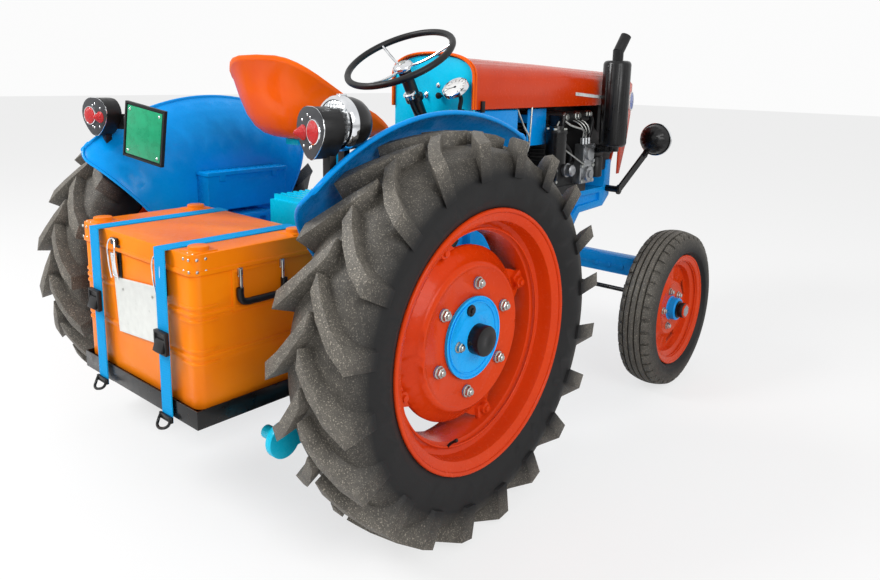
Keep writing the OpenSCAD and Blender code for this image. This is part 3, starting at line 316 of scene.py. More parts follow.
def faceOut(obj, merge=0.0):
    # merges the mesh's points closer than merge metres and turns its faces outwards
    bpy.ops.object.mode_set(mode="EDIT")
    bpy.ops.mesh.select_all(action="SELECT")
    if merge:
        bpy.ops.mesh.remove_doubles(threshold=merge)
    bpy.ops.mesh.normals_make_consistent(inside=False)
    bpy.ops.object.mode_set(mode="OBJECT")
    return obj


def turned(steps, sides=32):
    # a round part along +Z: a disc drawn up ring by ring, steps are (radius, height) in mm
    bpy.ops.object.select_all(action="DESELECT")
    radius, height = steps[0]
    bpy.ops.mesh.primitive_circle_add(vertices=sides, radius=radius / 1000, fill_type="NGON",
                                      location=(0, 0, height / 1000))
    obj = bpy.context.object
    bpy.ops.object.transform_apply()
    bpy.ops.object.mode_set(mode="EDIT")
    bpy.ops.mesh.select_all(action="SELECT")
    for nextRadius, nextHeight in steps[1:]:
        bpy.ops.mesh.extrude_region_move(TRANSFORM_OT_translate={"value": (0, 0, (nextHeight - height) / 1000)})
        grow = nextRadius / radius
        bpy.ops.transform.resize(value=(grow, grow, 1), center_override=(0, 0, nextHeight / 1000))
        radius, height = nextRadius, nextHeight
    bpy.ops.object.mode_set(mode="OBJECT")
    return faceOut(obj)


def spunRing(section, sides=48):
    # a ring about Z: a closed section of (radius, height) in mm, spun all the way round
    bpy.ops.object.select_all(action="DESELECT")
    bpy.ops.mesh.primitive_circle_add(vertices=len(section), radius=0.01)
    obj = bpy.context.object
    for vertex, (radius, height) in zip(obj.data.vertices, section):
        vertex.co = (radius / 1000, 0, height / 1000)
    bpy.ops.object.mode_set(mode="EDIT")
    bpy.ops.mesh.select_all(action="SELECT")
    bpy.ops.mesh.spin(steps=sides, angle=2 * pi, center=(0, 0, 0), axis=(0, 0, 1))
    bpy.ops.object.mode_set(mode="OBJECT")
    return faceOut(obj, 0.00001)


def breakEdges(obj, width, angle=40):
    # width in mm
    pickOnly(obj)
    modifier = obj.modifiers.new("edges", "BEVEL")
    modifier.width = width / 1000
    modifier.segments = 2
    modifier.limit_method = "ANGLE"
    modifier.angle_limit = radians(angle)
    bpy.ops.object.modifier_apply(modifier=modifier.name)
    return obj


def slab(x, y, z, edge=0.6, step=None):
    # a bar or plate of x by y by z mm round the origin; step (margin, depth) sinks or raises
    # its +Z face inside a rim
    bpy.ops.object.select_all(action="DESELECT")
    bpy.ops.mesh.primitive_cube_add(size=1, scale=(x / 1000, y / 1000, z / 1000))
    obj = bpy.context.object
    bpy.ops.object.transform_apply()
    if step:
        bpy.ops.object.mode_set(mode="EDIT")
        bpy.ops.mesh.select_mode(type="FACE")
        mesh = bmesh.from_edit_mesh(obj.data)
        for face in mesh.faces:
            face.select_set(face.normal.z > 0.9)
        bmesh.update_edit_mesh(obj.data)
        bpy.ops.mesh.inset(thickness=step[0] / 1000, depth=0)
        bpy.ops.mesh.extrude_region_move(TRANSFORM_OT_translate={"value": (0, 0, step[1] / 1000)})
        bpy.ops.object.mode_set(mode="OBJECT")
    return breakEdges(obj, edge) if edge else obj


def outlinePlate(outline, thick, edge):
    # a flat plate of thick mm from an outline of (x, y) in mm, facing +Z
    bpy.ops.object.select_all(action="DESELECT")
    bpy.ops.mesh.primitive_circle_add(vertices=len(outline), radius=0.01, fill_type="NGON")
    obj = bpy.context.object
    for vertex, (x, y) in zip(obj.data.vertices, outline):
        vertex.co = (x / 1000, y / 1000, 0)
    bpy.ops.object.mode_set(mode="EDIT")
    bpy.ops.mesh.select_all(action="SELECT")
    bpy.ops.mesh.extrude_region_move(TRANSFORM_OT_translate={"value": (0, 0, thick / 1000)})
    bpy.ops.object.mode_set(mode="OBJECT")
    return breakEdges(faceOut(obj), edge)


def tube(points, radius, sides=3):
    # a bent tube or wire through points in metres, radius in mm
    bpy.ops.object.select_all(action="DESELECT")
    bpy.ops.curve.primitive_bezier_curve_add()
    obj = bpy.context.object
    spline = obj.data.splines[0]
    spline.bezier_points.add(len(points) - 2)
    for knot, point in zip(spline.bezier_points, points):
        knot.co = point
        knot.handle_left_type = knot.handle_right_type = "AUTO"
    obj.data.dimensions = "3D"
    obj.data.bevel_depth = radius / 1000
    obj.data.bevel_resolution = sides
    obj.data.resolution_u = 6
    obj.data.use_fill_caps = True
    bpy.ops.object.convert(target="MESH")
    return faceOut(bpy.context.object, 0.00001)


def line(points, radius, sides=3):
    # a tube through points in mm
    return tube([spot(*p) for p in points], radius, sides)


def aimed(direction):
    return Vector(direction).to_track_quat("Z", "Y").to_matrix().to_4x4()


def facing(place, direction, turn=0.0):
    # the placing that sets a piece's +Z along direction at place, in mm
    return Matrix.Translation(spot(*place)) @ aimed(direction) @ Matrix.Rotation(turn, 4, "Z")


def local(u, v, w=0):
    # the placing that moves a piece by mm in its own frame
    return Matrix.Translation((u / 1000, v / 1000, w / 1000))


def setDown(obj, placing):
    obj.matrix_world = placing
    pickOnly(obj)
    bpy.ops.object.transform_apply(location=True, rotation=True, scale=True)
    return faceOut(obj) if placing.determinant() < 0 else obj


def joined(parts):
    bpy.ops.object.select_all(action="DESELECT")
    for part in parts:
        part.select_set(True)
    bpy.context.view_layer.objects.active = parts[0]
    if len(parts) > 1:
        bpy.ops.object.join()
    return bpy.context.object


def spread(model, placings):
    # a copy of the model, with its own mesh, at each placing
    made = []
    for placing in placings:
        other = model.copy()
        other.data = model.data.copy()
        bpy.context.scene.collection.objects.link(other)
        made.append(setDown(other, placing))
    bpy.data.objects.remove(model)
    return joined(made)


def dress(obj, name, material, slot, body="chassis", angle=35, hides=()):
    if isinstance(obj, list):
        obj = joined(obj)
    obj.name = obj.data.name = name
    obj.data.materials.clear()
    obj.data.materials.append(material)
    pickOnly(obj)
    bpy.ops.object.shade_smooth_by_angle(angle=radians(angle))
    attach(obj, body)
    if hides:
        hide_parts(*hides)
    return obj


sideNames = {1: "right", -1: "left"}
chrome, zinc = (chromePlate, "grey_metal"), (zincPlate, "grey_metal")
plastic, black = (moulding, "black_plastic"), (blackEnamel, "black_paint")


def onSide(side, place):
    # the point, mirrored where side is -1
    return side * place[0], place[1], place[2]


# body by side, middle and axle in mm, and what is fixed to the wheel; beads are (ring, out, thick, points)
rearWheel = {"bodies": {1: "rear_wheel_right", -1: "rear_wheel_left"}, "centre": 651, "alongY": 0, "axle": 560,
             "boltRing": 152, "bolts": 6, "boltTurn": -7, "nutFoot": 56.8, "nutTurn": 0.3,
             "nut": {"washer": 17.5, "flat": 15, "high": 14, "stud": 8.9},
             "beads": [(359, 112, 6.5, 12), (338, 86, 4, 10), (303, 60, 3.5, 10)], "beadSides": 96,
             "hubBeads": [(113.5, 62, 3, 10), (100, 60.5, 2, 10)],
             "cap": [(42.8, 72), (42.8, 103.5), (41.3, 106.8), (37.5, 108.6), (14, 109), (12, 108.2)],
             "plug": (82, 11, 59), "hubNut": (64, 100, 58.5), "valveAngle": 160.8}
frontWheel = {"bodies": {1: "front_wheel_right", -1: "front_wheel_left"}, "centre": 677, "alongY": 1362,
              "axle": 325, "boltRing": 76, "bolts": 5, "boltTurn": 15, "nutFoot": 19.8, "nutTurn": 0.4,
              "nut": {"washer": 15, "flat": 12.5, "high": 12, "stud": 8.4},
              "beads": [(225, 53, 5, 10), (204, 40, 3, 10)], "beadSides": 72,
              "barrel": [(50, 19), (50, 22), (46.5, 25), (46.5, 50), (44, 53.5), (31, 54)],
              "cap": [(36, 53), (36, 58), (31, 60), (31, 76), (29, 80), (22, 81.6), (10, 82)],
              "endNut": [(24, 81), (24, 86), (22, 87.5)]}

# Sheet metal, castings and tyres: the solids, smoothed. First the nodes that shade smooth over more than
# 35 degrees, and the tyres with notches between their shoulder blocks; size is across, along and inwards

wideSmooth = {"seat": 50, "muffler": 40, "engine_pipes": 40}
notched = {"front_tyre_right": 1, "front_tyre_left": -1}
notch = {"count": 40, "radius": 312, "out": 60, "lean": 34, "size": (44, 11, 19)}


def shoulderNotches(side):
    # the slabs that cut them, half a pitch apart on the two shoulders
    places = []
    lean = radians(notch["lean"])
    for shoulder, start in ((1, 0.5), (-1, 0)):
        for k in range(notch["count"]):
            a = 2 * pi * (k + start) / notch["count"]
            way = Vector((shoulder * sin(lean), -cos(lean) * sin(a), cos(lean) * cos(a)))
            across = Vector((shoulder * cos(lean), sin(lean) * sin(a), -sin(lean) * cos(a)))
            turn = Matrix((across, way.cross(across), way)).transposed().to_4x4()
            middle = spot(side * frontWheel["centre"] + shoulder * notch["out"],
                          frontWheel["alongY"] - notch["radius"] * sin(a),
                          frontWheel["axle"] + notch["radius"] * cos(a))
            places.append(Matrix.Translation(middle) @ turn)
    return spread(slab(*notch["size"], 0), places)


def refined(name, material, edge, body="chassis"):
    # the pressed or cast part itself: facets smoothed, edges broken by edge mm, notches cut
    source = frame["nodes"][name]
    obj = source.copy()
    obj.data = source.data.copy()
    obj.parent = None
    bpy.context.scene.collection.objects.link(obj)
    pickOnly(obj)
    bpy.ops.object.mode_set(mode="EDIT")
    bpy.ops.mesh.select_all(action="SELECT")
    bpy.ops.mesh.remove_doubles(threshold=0.00002)
    bpy.ops.mesh.dissolve_limited(angle_limit=radians(0.4))
    bpy.ops.object.mode_set(mode="OBJECT")
    if edge:
        breakEdges(obj, edge, angle=50)
    if name in notched:
        cutter = shoulderNotches(notched[name])
        pickOnly(obj)
        modifier = obj.modifiers.new("notches", "BOOLEAN")
        modifier.operation = "DIFFERENCE"
        modifier.solver = "EXACT"
        modifier.object = cutter
        bpy.ops.object.modifier_apply(modifier=modifier.name)
        bpy.data.objects.remove(cutter)
    slot = next(row["material_slot"] for row in frame["record"]["subparts"] if row["node"] == name)
    dress(obj, name + "_finished", material, slot, body, wideSmooth.get(name, 35), (name,))


for name, (material, *smoothing) in nodeFinish.items():
    if smoothing:
        refined(name, material, *smoothing)
print("solids smoothed")

# Wheels: nuts, caps, beads and valves


def wheelSpot(side, wheel, ring, angle, out):
    # ring mm from the axle, angle degrees rearwards from the top, out mm from the wheel's middle
    a = radians(angle)
    return side * (wheel["centre"] + out), wheel["alongY"] - ring * sin(a), wheel["axle"] + ring * cos(a)


def wheelNut(washer, flat, high, stud):
    base = turned([(washer, 0), (washer, 3), (washer - 2, 4)], 24)
    nut = turned([(flat, 3.5), (flat, high - 2), (flat - 2.5, high)], 6)
    end = turned([(stud, high - 1), (stud, high + 4), (stud - 1.5, high + 5.5)], 16)
    return joined([base, nut, end])


def bead(ring, out, thick, points, sides):
    # a rolled bead of thick mm radius round +Z
    step = 2 * pi / points
    section = [(ring + thick * cos(k * step), out + thick * sin(k * step)) for k in range(points)]
    return spunRing(section, sides)


def onWheel(obj, side, wheel, name, material, slot, angle=35, spotAt=(0, 0, 0)):
    # a piece drawn round +Z, set on the wheel's axle or at spotAt, (ring, angle, out)
    setDown(obj, facing(wheelSpot(side, wheel, *spotAt), (side, 0, 0)))
    return dress(obj, name + "_" + sideNames[side], material, slot, wheel["bodies"][side], angle)


for side, word in sideNames.items():
    out = (side, 0, 0)
    for wheel, name in ((rearWheel, "rear"), (frontWheel, "front")):
        body, count = wheel["bodies"][side], wheel["bolts"]
        angles = [k * 360 / count + wheel["boltTurn"] for k in range(count)]
        places = [facing(wheelSpot(side, wheel, wheel["boltRing"], a, wheel["nutFoot"]), out, wheel["nutTurn"] * k)
                  for k, a in enumerate(angles)]
        nuts = spread(wheelNut(**wheel["nut"]), places)
        dress(nuts, name + "_nuts_" + word, *zinc, body)
        beads = joined([bead(*row, wheel["beadSides"]) for row in wheel["beads"]])
        onWheel(beads, side, wheel, name + "_rim_beads", redOrangeEnamel, "orange_paint", 60)
    cap = setDown(turned(rearWheel["cap"], 40), facing(wheelSpot(side, rearWheel, 0, 0, 0), out))
    plug = joined([turned([(16, 0), (16, 6), (13.5, 7.5)], 20), turned([(8.5, 6), (8.5, 12), (7, 13)], 6)])
    setDown(plug, facing(wheelSpot(side, rearWheel, *rearWheel["plug"]), out))
    dress([cap, plug], "rear_hub_cap_" + word, *black, rearWheel["bodies"][side])
    beads = joined([bead(*row, 64) for row in rearWheel["hubBeads"]])
    onWheel(beads, side, rearWheel, "rear_hub_beads", azureEnamel, "cyan_paint", 60)
    nut = wheelNut(washer=16, flat=13.5, high=14, stud=8)
    onWheel(nut, side, rearWheel, "rear_hub_nut", *zinc, spotAt=rearWheel["hubNut"])
    onWheel(turned(frontWheel["barrel"], 40), side, frontWheel, "front_hub_barrel", blueEnamel, "blue_paint")
    onWheel(turned(frontWheel["cap"], 36), side, frontWheel, "front_hub_cap", *black)
    onWheel(turned(frontWheel["endNut"], 6), side, frontWheel, "front_hub_nut", castAluminium, "grey_metal")
    stemSpots = [wheelSpot(side, rearWheel, ring, rearWheel["valveAngle"], far)
                 for ring, far in ((302, 60), (292, 66), (280, 80), (280.5, 79.5))]
    valveCap = setDown(turned([(4.6, 0), (5.2, 1), (5.2, 8), (3.5, 10)], 12),
                       facing(stemSpots[3], (side * 0.77, 0.0, 0.64)))
    valve = joined([line(stemSpots[:3], 4), valveCap])
    dress(valve, "rear_valve_" + word, *plastic, rearWheel["bodies"][side])
print("wheel nuts, caps and valves")

# Steering wheel: moulded rim, three plated spokes that dip to a domed hub

wheelParts = {"place": (0, 438, 1316), "tilt": 30, "rim": 200, "thick": 12, "spokes": (31, 151, 271),
              "spokeLine": ((20, -38), (60, -36), (120, -24), (165, -8), (194, 0)),
              "hub": [(36, -44), (38, -40), (38, -33), (34, -26), (24, -21), (10, -19)]}
placing = Matrix.Translation(spot(*wheelParts["place"])) @ Matrix.Rotation(radians(wheelParts["tilt"]), 4, "X")
rim = setDown(bead(wheelParts["rim"], 0, wheelParts["thick"], 14, 96), placing)
dress(rim, "steering_rim", *plastic, "steering_wheel", 60, ("steering_wheel",))
hubParts = [setDown(turned(wheelParts["hub"], 40), placing)]
for angle in wheelParts["spokes"]:
    a = radians(angle)
    path = [(r * cos(a) / 1000, r * sin(a) / 1000, h / 1000) for r, h in wheelParts["spokeLine"]]
    hubParts.append(setDown(tube(path, 5), placing))
dress(hubParts, "steering_spokes", *chrome, "steering_wheel")
button = setDown(turned([(14, -22), (14, -17.5), (12, -16), (5, -15.5)], 32), placing)
dress(button, "steering_button", *zinc, "steering_wheel")
print("steering wheel")

# Lamps

tailLamp = {"place": (543, -421.07, 1117.51), "lift": {1: 7, -1: -14}, "yaw": 10,
            "half": [(12, 62), (32, 57.5), (47, 47.5), (57.5, 33), (62, 16), (61, 2), (55.5, -14), (46, -28),
                     (35, -41), (23, -52.5), (11, -60)],
            "lens": (19, 4), "lensSteps": [(27, 2), (27, 4.5), (25.4, 7), (21, 9), (13, 10.4), (5, 10.9)],
            "lensRim": [(26.6, 2.4), (26.6, 5), (27.6, 6.4), (29.4, 5.6), (30.2, 2.4)],
            "cone": (-31, 0), "coneSteps": [(18.4, 1.5), (18.4, 4), (16.8, 5), (5.2, 24.4), (3, 26.2), (1, 26.6)],
            "screws": [(-33, 29), (-8, 42), (4, 37), (-27, -31), (0, -34), (8, -31)],
            "screwSteps": [(3.4, 2), (3.4, 3.4), (2.2, 4.4)]}


def lampOutline(grow):
    # rounded triangle, point down, fuller than the housing behind it; grow in mm
    points = [(u + grow * u / 62, v + grow * v / 62) for u, v in tailLamp["half"]]
    return points[::-1] + [(-u, v) for u, v in points]


def lampFrame(side):
    # u outwards along the lamp's face, v up, w to the rear
    yaw = radians(tailLamp["yaw"])
    x, y, z = tailLamp["place"]
    turn = Matrix(((side * cos(yaw), 0, -side * sin(yaw)), (-sin(yaw), 0, -cos(yaw)), (0, 1, 0))).to_4x4()
    return Matrix.Translation(spot(side * x, y, z + tailLamp["lift"][side])) @ turn


def screws(placing, steps, spots):
    return [setDown(turned(steps, 12), placing @ local(u, v)) for u, v in spots]


# layers of the tail lamp: grow, thickness, broken edge and underside, in mm
lampLayers = {"face": (-0.8, 3, 0.6, -0.3, lampGrey, "black_plastic"),
              "shell": (-1.5, 56, 3, -58, *plastic),
              "edge": (0.2, 3, 0.8, -2.6, *chrome)}
for side, word in sideNames.items():
    placing = lampFrame(side)
    for name, (grow, thick, edge, low, material, slot) in lampLayers.items():
        layer = setDown(outlinePlate(lampOutline(grow), thick, edge), placing @ local(0, 0, low))
        dress(layer, "tail_lamp_" + name + "_" + word, material, slot)
    lens = setDown(turned(tailLamp["lensSteps"], 36), placing @ local(*tailLamp["lens"]))
    cone = setDown(turned(tailLamp["coneSteps"], 32), placing @ local(*tailLamp["cone"]))
    dress([lens, cone], "tail_lamp_lens_" + word, lensRed, "orange_paint")
    lensRim = setDown(spunRing(tailLamp["lensRim"]), placing @ local(*tailLamp["lens"]))
    trim = [lensRim] + screws(placing, tailLamp["screwSteps"], tailLamp["screws"])
    dress(trim, "tail_lamp_trim_" + word, *chrome)
# reflector strip on the left lamp's outer side
strip = slab(44, 66, 4, 1.2, (3, 1))
setDown(strip, lampFrame(-1) @ local(61.5, 8, -32) @ Matrix.Rotation(pi / 2, 4, "Y"))
dress(strip, "side_reflector_left", lensRed, "orange_paint")

workLamp = {"place": (553, -320, 1144.5), "clip": (553, -334, 1211),
            "band": [(50, 32), (50, 35), (57, 38.5), (63, 37), (66, 32), (66.5, 17), (65, 15), (62.9, 15),
                     (62.7, 22), (60.5, 30.5), (60, 30.5)],
            "bowl": [(62.4, 21), (64, 19), (64.2, 4), (62.6, -12), (58, -27), (50, -39), (38, -48), (22, -53),
                     (10, -54)],
            "glass": [(57.5, 31), (57.5, 34.5), (54, 38), (44, 41.2), (30, 43.4), (12, 44.4)]}
placing = facing(workLamp["place"], (0, -1, 0))
dress(setDown(spunRing(workLamp["band"], 56), placing), "work_lamp_band", *chrome)
dress(setDown(turned(workLamp["bowl"], 56), placing), "work_lamp_bowl", blackEnamel, "black_plastic")
dress(setDown(turned(workLamp["glass"], 48), placing), "work_lamp_glass", lampGlass, "grey_metal")
clip = setDown(slab(14, 22, 6, 1), facing(workLamp["clip"], (0, 0, 1)))
dress(clip, "work_lamp_clip", *chrome)

headLamp = {"place": (330, 1905, 972),
            "ring": [(66, 1), (66, 3), (72, 6.5), (77.5, 4.5), (79, 0), (79, -12), (77, -12.6), (76.4, -3),
                     (75.6, .4)],
            "glass": [(72, 0.5), (72, 3), (66, 6.5), (52, 10.5), (34, 13), (12, 14)]}
for side, word in sideNames.items():
    placing = facing(onSide(side, headLamp["place"]), (0, 1, 0))
    ring = setDown(spunRing(headLamp["ring"], 56), placing)
    dress(ring, "headlamp_ring_" + word, *chrome)
    glass = setDown(turned(headLamp["glass"], 48), placing)
    dress(glass, "headlamp_glass_" + word, lampGlass, "grey_metal")
print("lamps")

# Blank plates: the green one beside the left lamp and the white one on the box

sidePlate = {"centre": (-258, -402, 1067.5), "yaw": 12, "roll": 9, "face": 150, "bar": (170, 7, 6), "barOut": 82,
             "screws": [(u, v) for u in (-64, 64) for v in (-64, 64)], "screwSteps": [(4, 1.8), (4, 3.2), (2.6, 4.4)]}
whitePlate = {"centre": (30, -597, 621), "size": (249, 157, 3), "roll": 4.4, "screws": [(-80, 48), (80, 48)],
              "screwSteps": [(4, 0.8), (4, 2.4), (2.6, 3.4)]}
tilt = Matrix.Rotation(radians(sidePlate["yaw"]), 4, "Z") @ Matrix.Rotation(radians(sidePlate["roll"]), 4, "Y")
placing = Matrix.Translation(spot(*sidePlate["centre"])) @ tilt @ local(0, -4.2) @ aimed((0, -1, 0))
plate = setDown(slab(sidePlate["face"], sidePlate["face"], 2, 0.8), placing @ local(0, 0, 1))
dress(plate, "side_plate_face", plateGreen, "cyan_paint")
frameBars = []
for quarter in range(4):
    turn = Matrix.Rotation(quarter * pi / 2, 4, "Z")
    frameBars.append(setDown(slab(*sidePlate["bar"], 1), placing @ turn @ local(0, sidePlate["barOut"], 0.5)))
dress(frameBars, "side_plate_frame", *plastic)
heads = screws(placing, sidePlate["screwSteps"], sidePlate["screws"])
dress(heads, "side_plate_screws", *chrome)
placing = facing(whitePlate["centre"], (0, -1, 0), radians(whitePlate["roll"]))
plate = setDown(slab(*whitePlate["size"], 1, (6, -0.6)), placing)
dress(plate, "box_plate_face", plateWhite, "grey_metal")
heads = screws(placing, whitePlate["screwSteps"], whitePlate["screws"])
dress(heads, "box_plate_screws", *zinc)
print("plates")

# Fenders: a rolled hem at the front and rear ends. arc is the top's ends in degrees above +Y, legs the radii
# at which the hem passes down the inner side

fender = {"out": 585, "inner": 422, "y": 30, "z": 390, "r": 774, "flare": 290, "flareAngle": 64, "corner": 60,
          "arc": (59.5, 130.5), "legs": (386, 420, 470, 505), "hem": 5}


def flareRadius(x):
    base = fender["r"] - fender["flare"] * sin(radians(fender["flareAngle"]))
    return base + fender["flare"] * sin(acos(min(1, max(-1, 1 - (x - fender["inner"]) / fender["flare"]))))


def onFender(side, x, inFromEnd, rearEnd):
    # a point of the fender's top, inFromEnd mm along from its rear or front end
    r = flareRadius(x)
    a = radians(fender["arc"][1]) - inFromEnd / r if rearEnd else radians(fender["arc"][0]) + inFromEnd / r
    return spot(side * x, fender["y"] + r * cos(a), fender["z"] + r * sin(a))


def hemPath(side, rearEnd):
    end = radians(fender["arc"][1 if rearEnd else 0])
    path = [spot(side * fender["inner"], fender["y"] + r * cos(end), fender["z"] + r * sin(end))
            for r in fender["legs"]]
    first, straight = fender["inner"] + 4, fender["out"] - fender["corner"] + 7
    for k in range(9):
        path.append(onFender(side, first + k * (straight - first) / 8, 1, rearEnd))
    for k in range(1, 8):
        turn = radians(k * 90 / 7)
        x = straight + (fender["corner"] - 4) * sin(turn)
        path.append(onFender(side, x, 1 + (fender["corner"] - 2) * (1 - cos(turn)), rearEnd))
    return path


for side, word in sideNames.items():
    hems = [tube(hemPath(side, rearEnd), fender["hem"]) for rearEnd in (True, False)]
    dress(hems, "fender_hem_" + word, blueEnamel, "blue_paint")
print("fender hems")

# Box: catches, rivets, handles, buckles and hooks

# x, the lowest and the highest point of the two wire loops
catches = {"loops": ((-84, 688, 800), (157, 694, 796)), "y": -608.6, "halfWidth": 19, "wireR": 2.2}
plates, wires = [], []
for x, low, high in catches["loops"]:
    plates.append(setDown(slab(40, 92, 3, 0.8, (4, 1.5)), facing((x, -593.5, 738), (0, -1, 0))))
    plates.append(setDown(slab(34, 20, 8, 2), facing((x, -599.5, 794), (0, -1, 0))))
    w, y = catches["halfWidth"], catches["y"]
    half = [(w, 4, low), (w, -2, (low + high) / 2), (w - 2, 0, high - 8), (w - 9, 3, high)]
    loop = [(x - u, y + v, z) for u, v, z in half] + [(x + u, y + v, z) for u, v, z in half[::-1]]
    wires.append(line(loop, catches["wireR"]))
    wires.append(setDown(slab(27, 70, 6, 1.6, (5, -2.5)), facing((x, -603, 728), (0, -1, -0.06))))
dress(plates, "box_catch_plates", *black, hides=("case_fittings",))
dress(wires, "box_catch_wires", *chrome)

rivet = {"steps": [(4.2, -0.5), (4.2, 0.6), (3.2, 1.9), (1.6, 2.5)],
         "rear": [(x, -594.4, z) for x in (-285, -262, 262, 285) for z in (775, 806)],
         "top": [(x, y, 818) for x in (262, 285) for y in (-580, -212)],
         "side": [(299.8, y, z) for y in (-580, -556, -236, -212) for z in (775, 806)],
         "handle": [(301, y, z) for y in (-462, -330) for z in (680, 745)]}
places = [facing(p, (0, -1, 0)) for p in rivet["rear"]]
for side in sideNames:
    places += [facing(onSide(side, p), (side, 0, 0)) for p in rivet["side"] + rivet["handle"]]
    places += [facing(onSide(side, p), (0, 0, 1)) for p in rivet["top"]]
dress(spread(turned(rivet["steps"], 12), places), "box_rivets", *zinc)

# a drop handle on each side: plate sunk in the wall, two legs in eyes and a grip; grip is (along, z)
handle = {"y": -396, "plate": (174, 112, 4), "plateX": 298.4, "plateZ": 708, "barX": 309, "legY": 66,
          "leg": (764, 735, 690), "legR": 4.2, "eyeX": 304.5, "eyeZ": 757, "gripR": 9.5,
          "grip": [(-69.56, 715), (-69.56, 694), (-64.86, 681), (-52.64, 675), (-26.32, 674)]}
gripLine = handle["grip"] + [(-u, z) for u, z in handle["grip"][::-1]]
for side, word in sideNames.items():
    out, x, y = (side, 0, 0), side * handle["barX"], handle["y"]
    handlePlate = slab(*handle["plate"], 1.5, (9, -1.6))
    setDown(handlePlate, facing((side * handle["plateX"], y, handle["plateZ"]), out))
    dress(handlePlate, "box_handle_plate_" + word, boxEnamel, "amber_paint")
    legs = []
    for dy in (-handle["legY"], handle["legY"]):
        legs.append(line([(x, y + dy, z) for z in handle["leg"]], handle["legR"]))
        eye = facing((side * handle["eyeX"], y + dy, handle["eyeZ"]), out)
        legs.append(setDown(slab(13, 20, 9, 2), eye))
    dress(legs, "box_handle_legs_" + word, *zinc)
    grip = line([(x, y + dy, z) for dy, z in gripLine], handle["gripR"], 4)
    dress(grip, "box_handle_grip_" + word, *plastic)

# cam buckles of the straps (x, z), and the open hooks that hold them to the carrier
strap = {"buckles": ((-182, 610), (182, 575)), "hookX": 178, "hookY": (-613, -181), "hookZ": 366, "hookR": 4,
         "hookLine": [(-24, -4, 372), (-25, -12, 354), (-12, -22, 346), (12, -22, 346), (25, -12, 354), (24, -4, 372)]}
buckles = []
for x, z in strap["buckles"]:
    buckles.append(setDown(slab(58, 62, 12, 2, (7, -5)), facing((x, -620, z), (0, -1, 0))))
    buckles.append(setDown(slab(44, 34, 10, 2), facing((x, -625, z - 8), (0, -1, 0.35))))
dress(buckles, "strap_buckles", *plastic)
hooks = []
for x in (-strap["hookX"], strap["hookX"]):
    for y in strap["hookY"]:
        hooks.append(setDown(slab(62, 7, 16, 1.5), facing((x, y - 3, strap["hookZ"]), (0, 0, 1))))
        hooks.append(line([(x + u, y + v, z) for u, v, z in strap["hookLine"]], strap["hookR"]))
dress(hooks, "strap_hooks", *black)
print("box fittings")

# Bonnet's rear hoop: two rolled strips in the seat's colour; strips are (y, radius)

hoop = {"halfWidth": 202.5, "legZ": (1138, 1180, 1225), "crease": 1252, "top": 1341, "roundness": 0.82,
        "strips": {"rear": (613, 5), "front": (628, 4.6)}}


def hoopPoint(angle, y):
    c, e = cos(radians(angle)), hoop["roundness"]
    x = hoop["halfWidth"] * (1 if c >= 0 else -1) * abs(c) ** e
    return spot(x, y, hoop["crease"] + (hoop["top"] - hoop["crease"]) * sin(radians(angle)) ** e)


for name, (y, radius) in hoop["strips"].items():
    path = [spot(hoop["halfWidth"], y, z) for z in hoop["legZ"]] + [hoopPoint(a, y) for a in range(10, 171, 10)]
    path += [spot(-hoop["halfWidth"], y, z) for z in hoop["legZ"][::-1]]
    dress(tube(path, radius), "bonnet_hoop_" + name, seatEnamel, "amber_paint")

# Strips, discs and latches on the bonnet: all blank

badge = {"place": (200.6, 1467, 1181), "size": (256, 14, 2.4), "slope": -4.0}
noseDisc = {"place": (182, 1905, 1150), "aim": (0.963, 0.27, 0.02), "face": [(42, -2), (42, 3.4), (40, 4.2)],
            "ring": [(41.4, -2), (41.4, 4.6), (43, 5.4), (46, 5), (47, 3), (47, -2)]}
latchPlace = (203, 672, 1147)
for side, word in sideNames.items():
    out = (side, 0, 0)
    strip = slab(*badge["size"], 0.8, (1.6, -0.5))
    setDown(strip, facing(onSide(side, badge["place"]), out, side * radians(badge["slope"])))
    dress(strip, "bonnet_strip_" + word, badgeWhite, "grey_metal")
    u, v, w = noseDisc["aim"]
    placing = facing(onSide(side, noseDisc["place"]), (side * u, v, w))
    disc = setDown(turned(noseDisc["face"], 40), placing)
    dress(disc, "nose_disc_" + word, noseBlue, "blue_paint")
    ring = setDown(spunRing(noseDisc["ring"]), placing)
    dress(ring, "nose_disc_ring_" + word, badgeWhite, "grey_metal")
    latch = setDown(slab(20, 42, 9, 2, (4, 2)), facing(onSide(side, latchPlace), out))
    dress(latch, "bonnet_latch_" + word, *plastic)

# Dash: dial, knobs and key

gauge = {"place": (160, 562, 1216), "tilt": 42, "case": [(30, -20), (40, -16), (47, -6), (48, 2), (45, 2.4)],
         "stalkTop": (-0.014, -0.05), "stalkFoot": ((152, 604, 1130), (152, 624, 1130)),
         "dial": [(43, 1), (43, 3.2), (42, 3.4)], "marks": 11, "firstMark": -130, "markStep": 26, "needle": 118,
         "pin": [(5, 3), (5, 5), (3.6, 5.6)],
         "bezel": [(42, 1), (42, 5.5), (45, 8), (49, 6.5), (50.6, 2), (50.6, -8), (48.5, -8)]}
placing = Matrix.Translation(spot(*gauge["place"])) @ Matrix.Rotation(radians(gauge["tilt"]), 4, "X")
case = setDown(turned(gauge["case"], 40), placing)
path = [placing @ Vector((0, 0, w)) for w in gauge["stalkTop"]] + [spot(*p) for p in gauge["stalkFoot"]]
stalk = tube(path, 8, 4)
dress([case, stalk], "gauge_case", *black, hides=("dash_gauge",))
dress(setDown(turned(gauge["dial"], 40), placing), "gauge_dial", badgeWhite, "grey_metal")
marks = []
for k in range(gauge["marks"]):
    turn = Matrix.Rotation(radians(gauge["firstMark"] + gauge["markStep"] * k), 4, "Z")
    marks.append(setDown(slab(2.2, 8 if k % 5 else 11, 0.8, 0.2), placing @ turn @ local(0, 35, 3.6)))
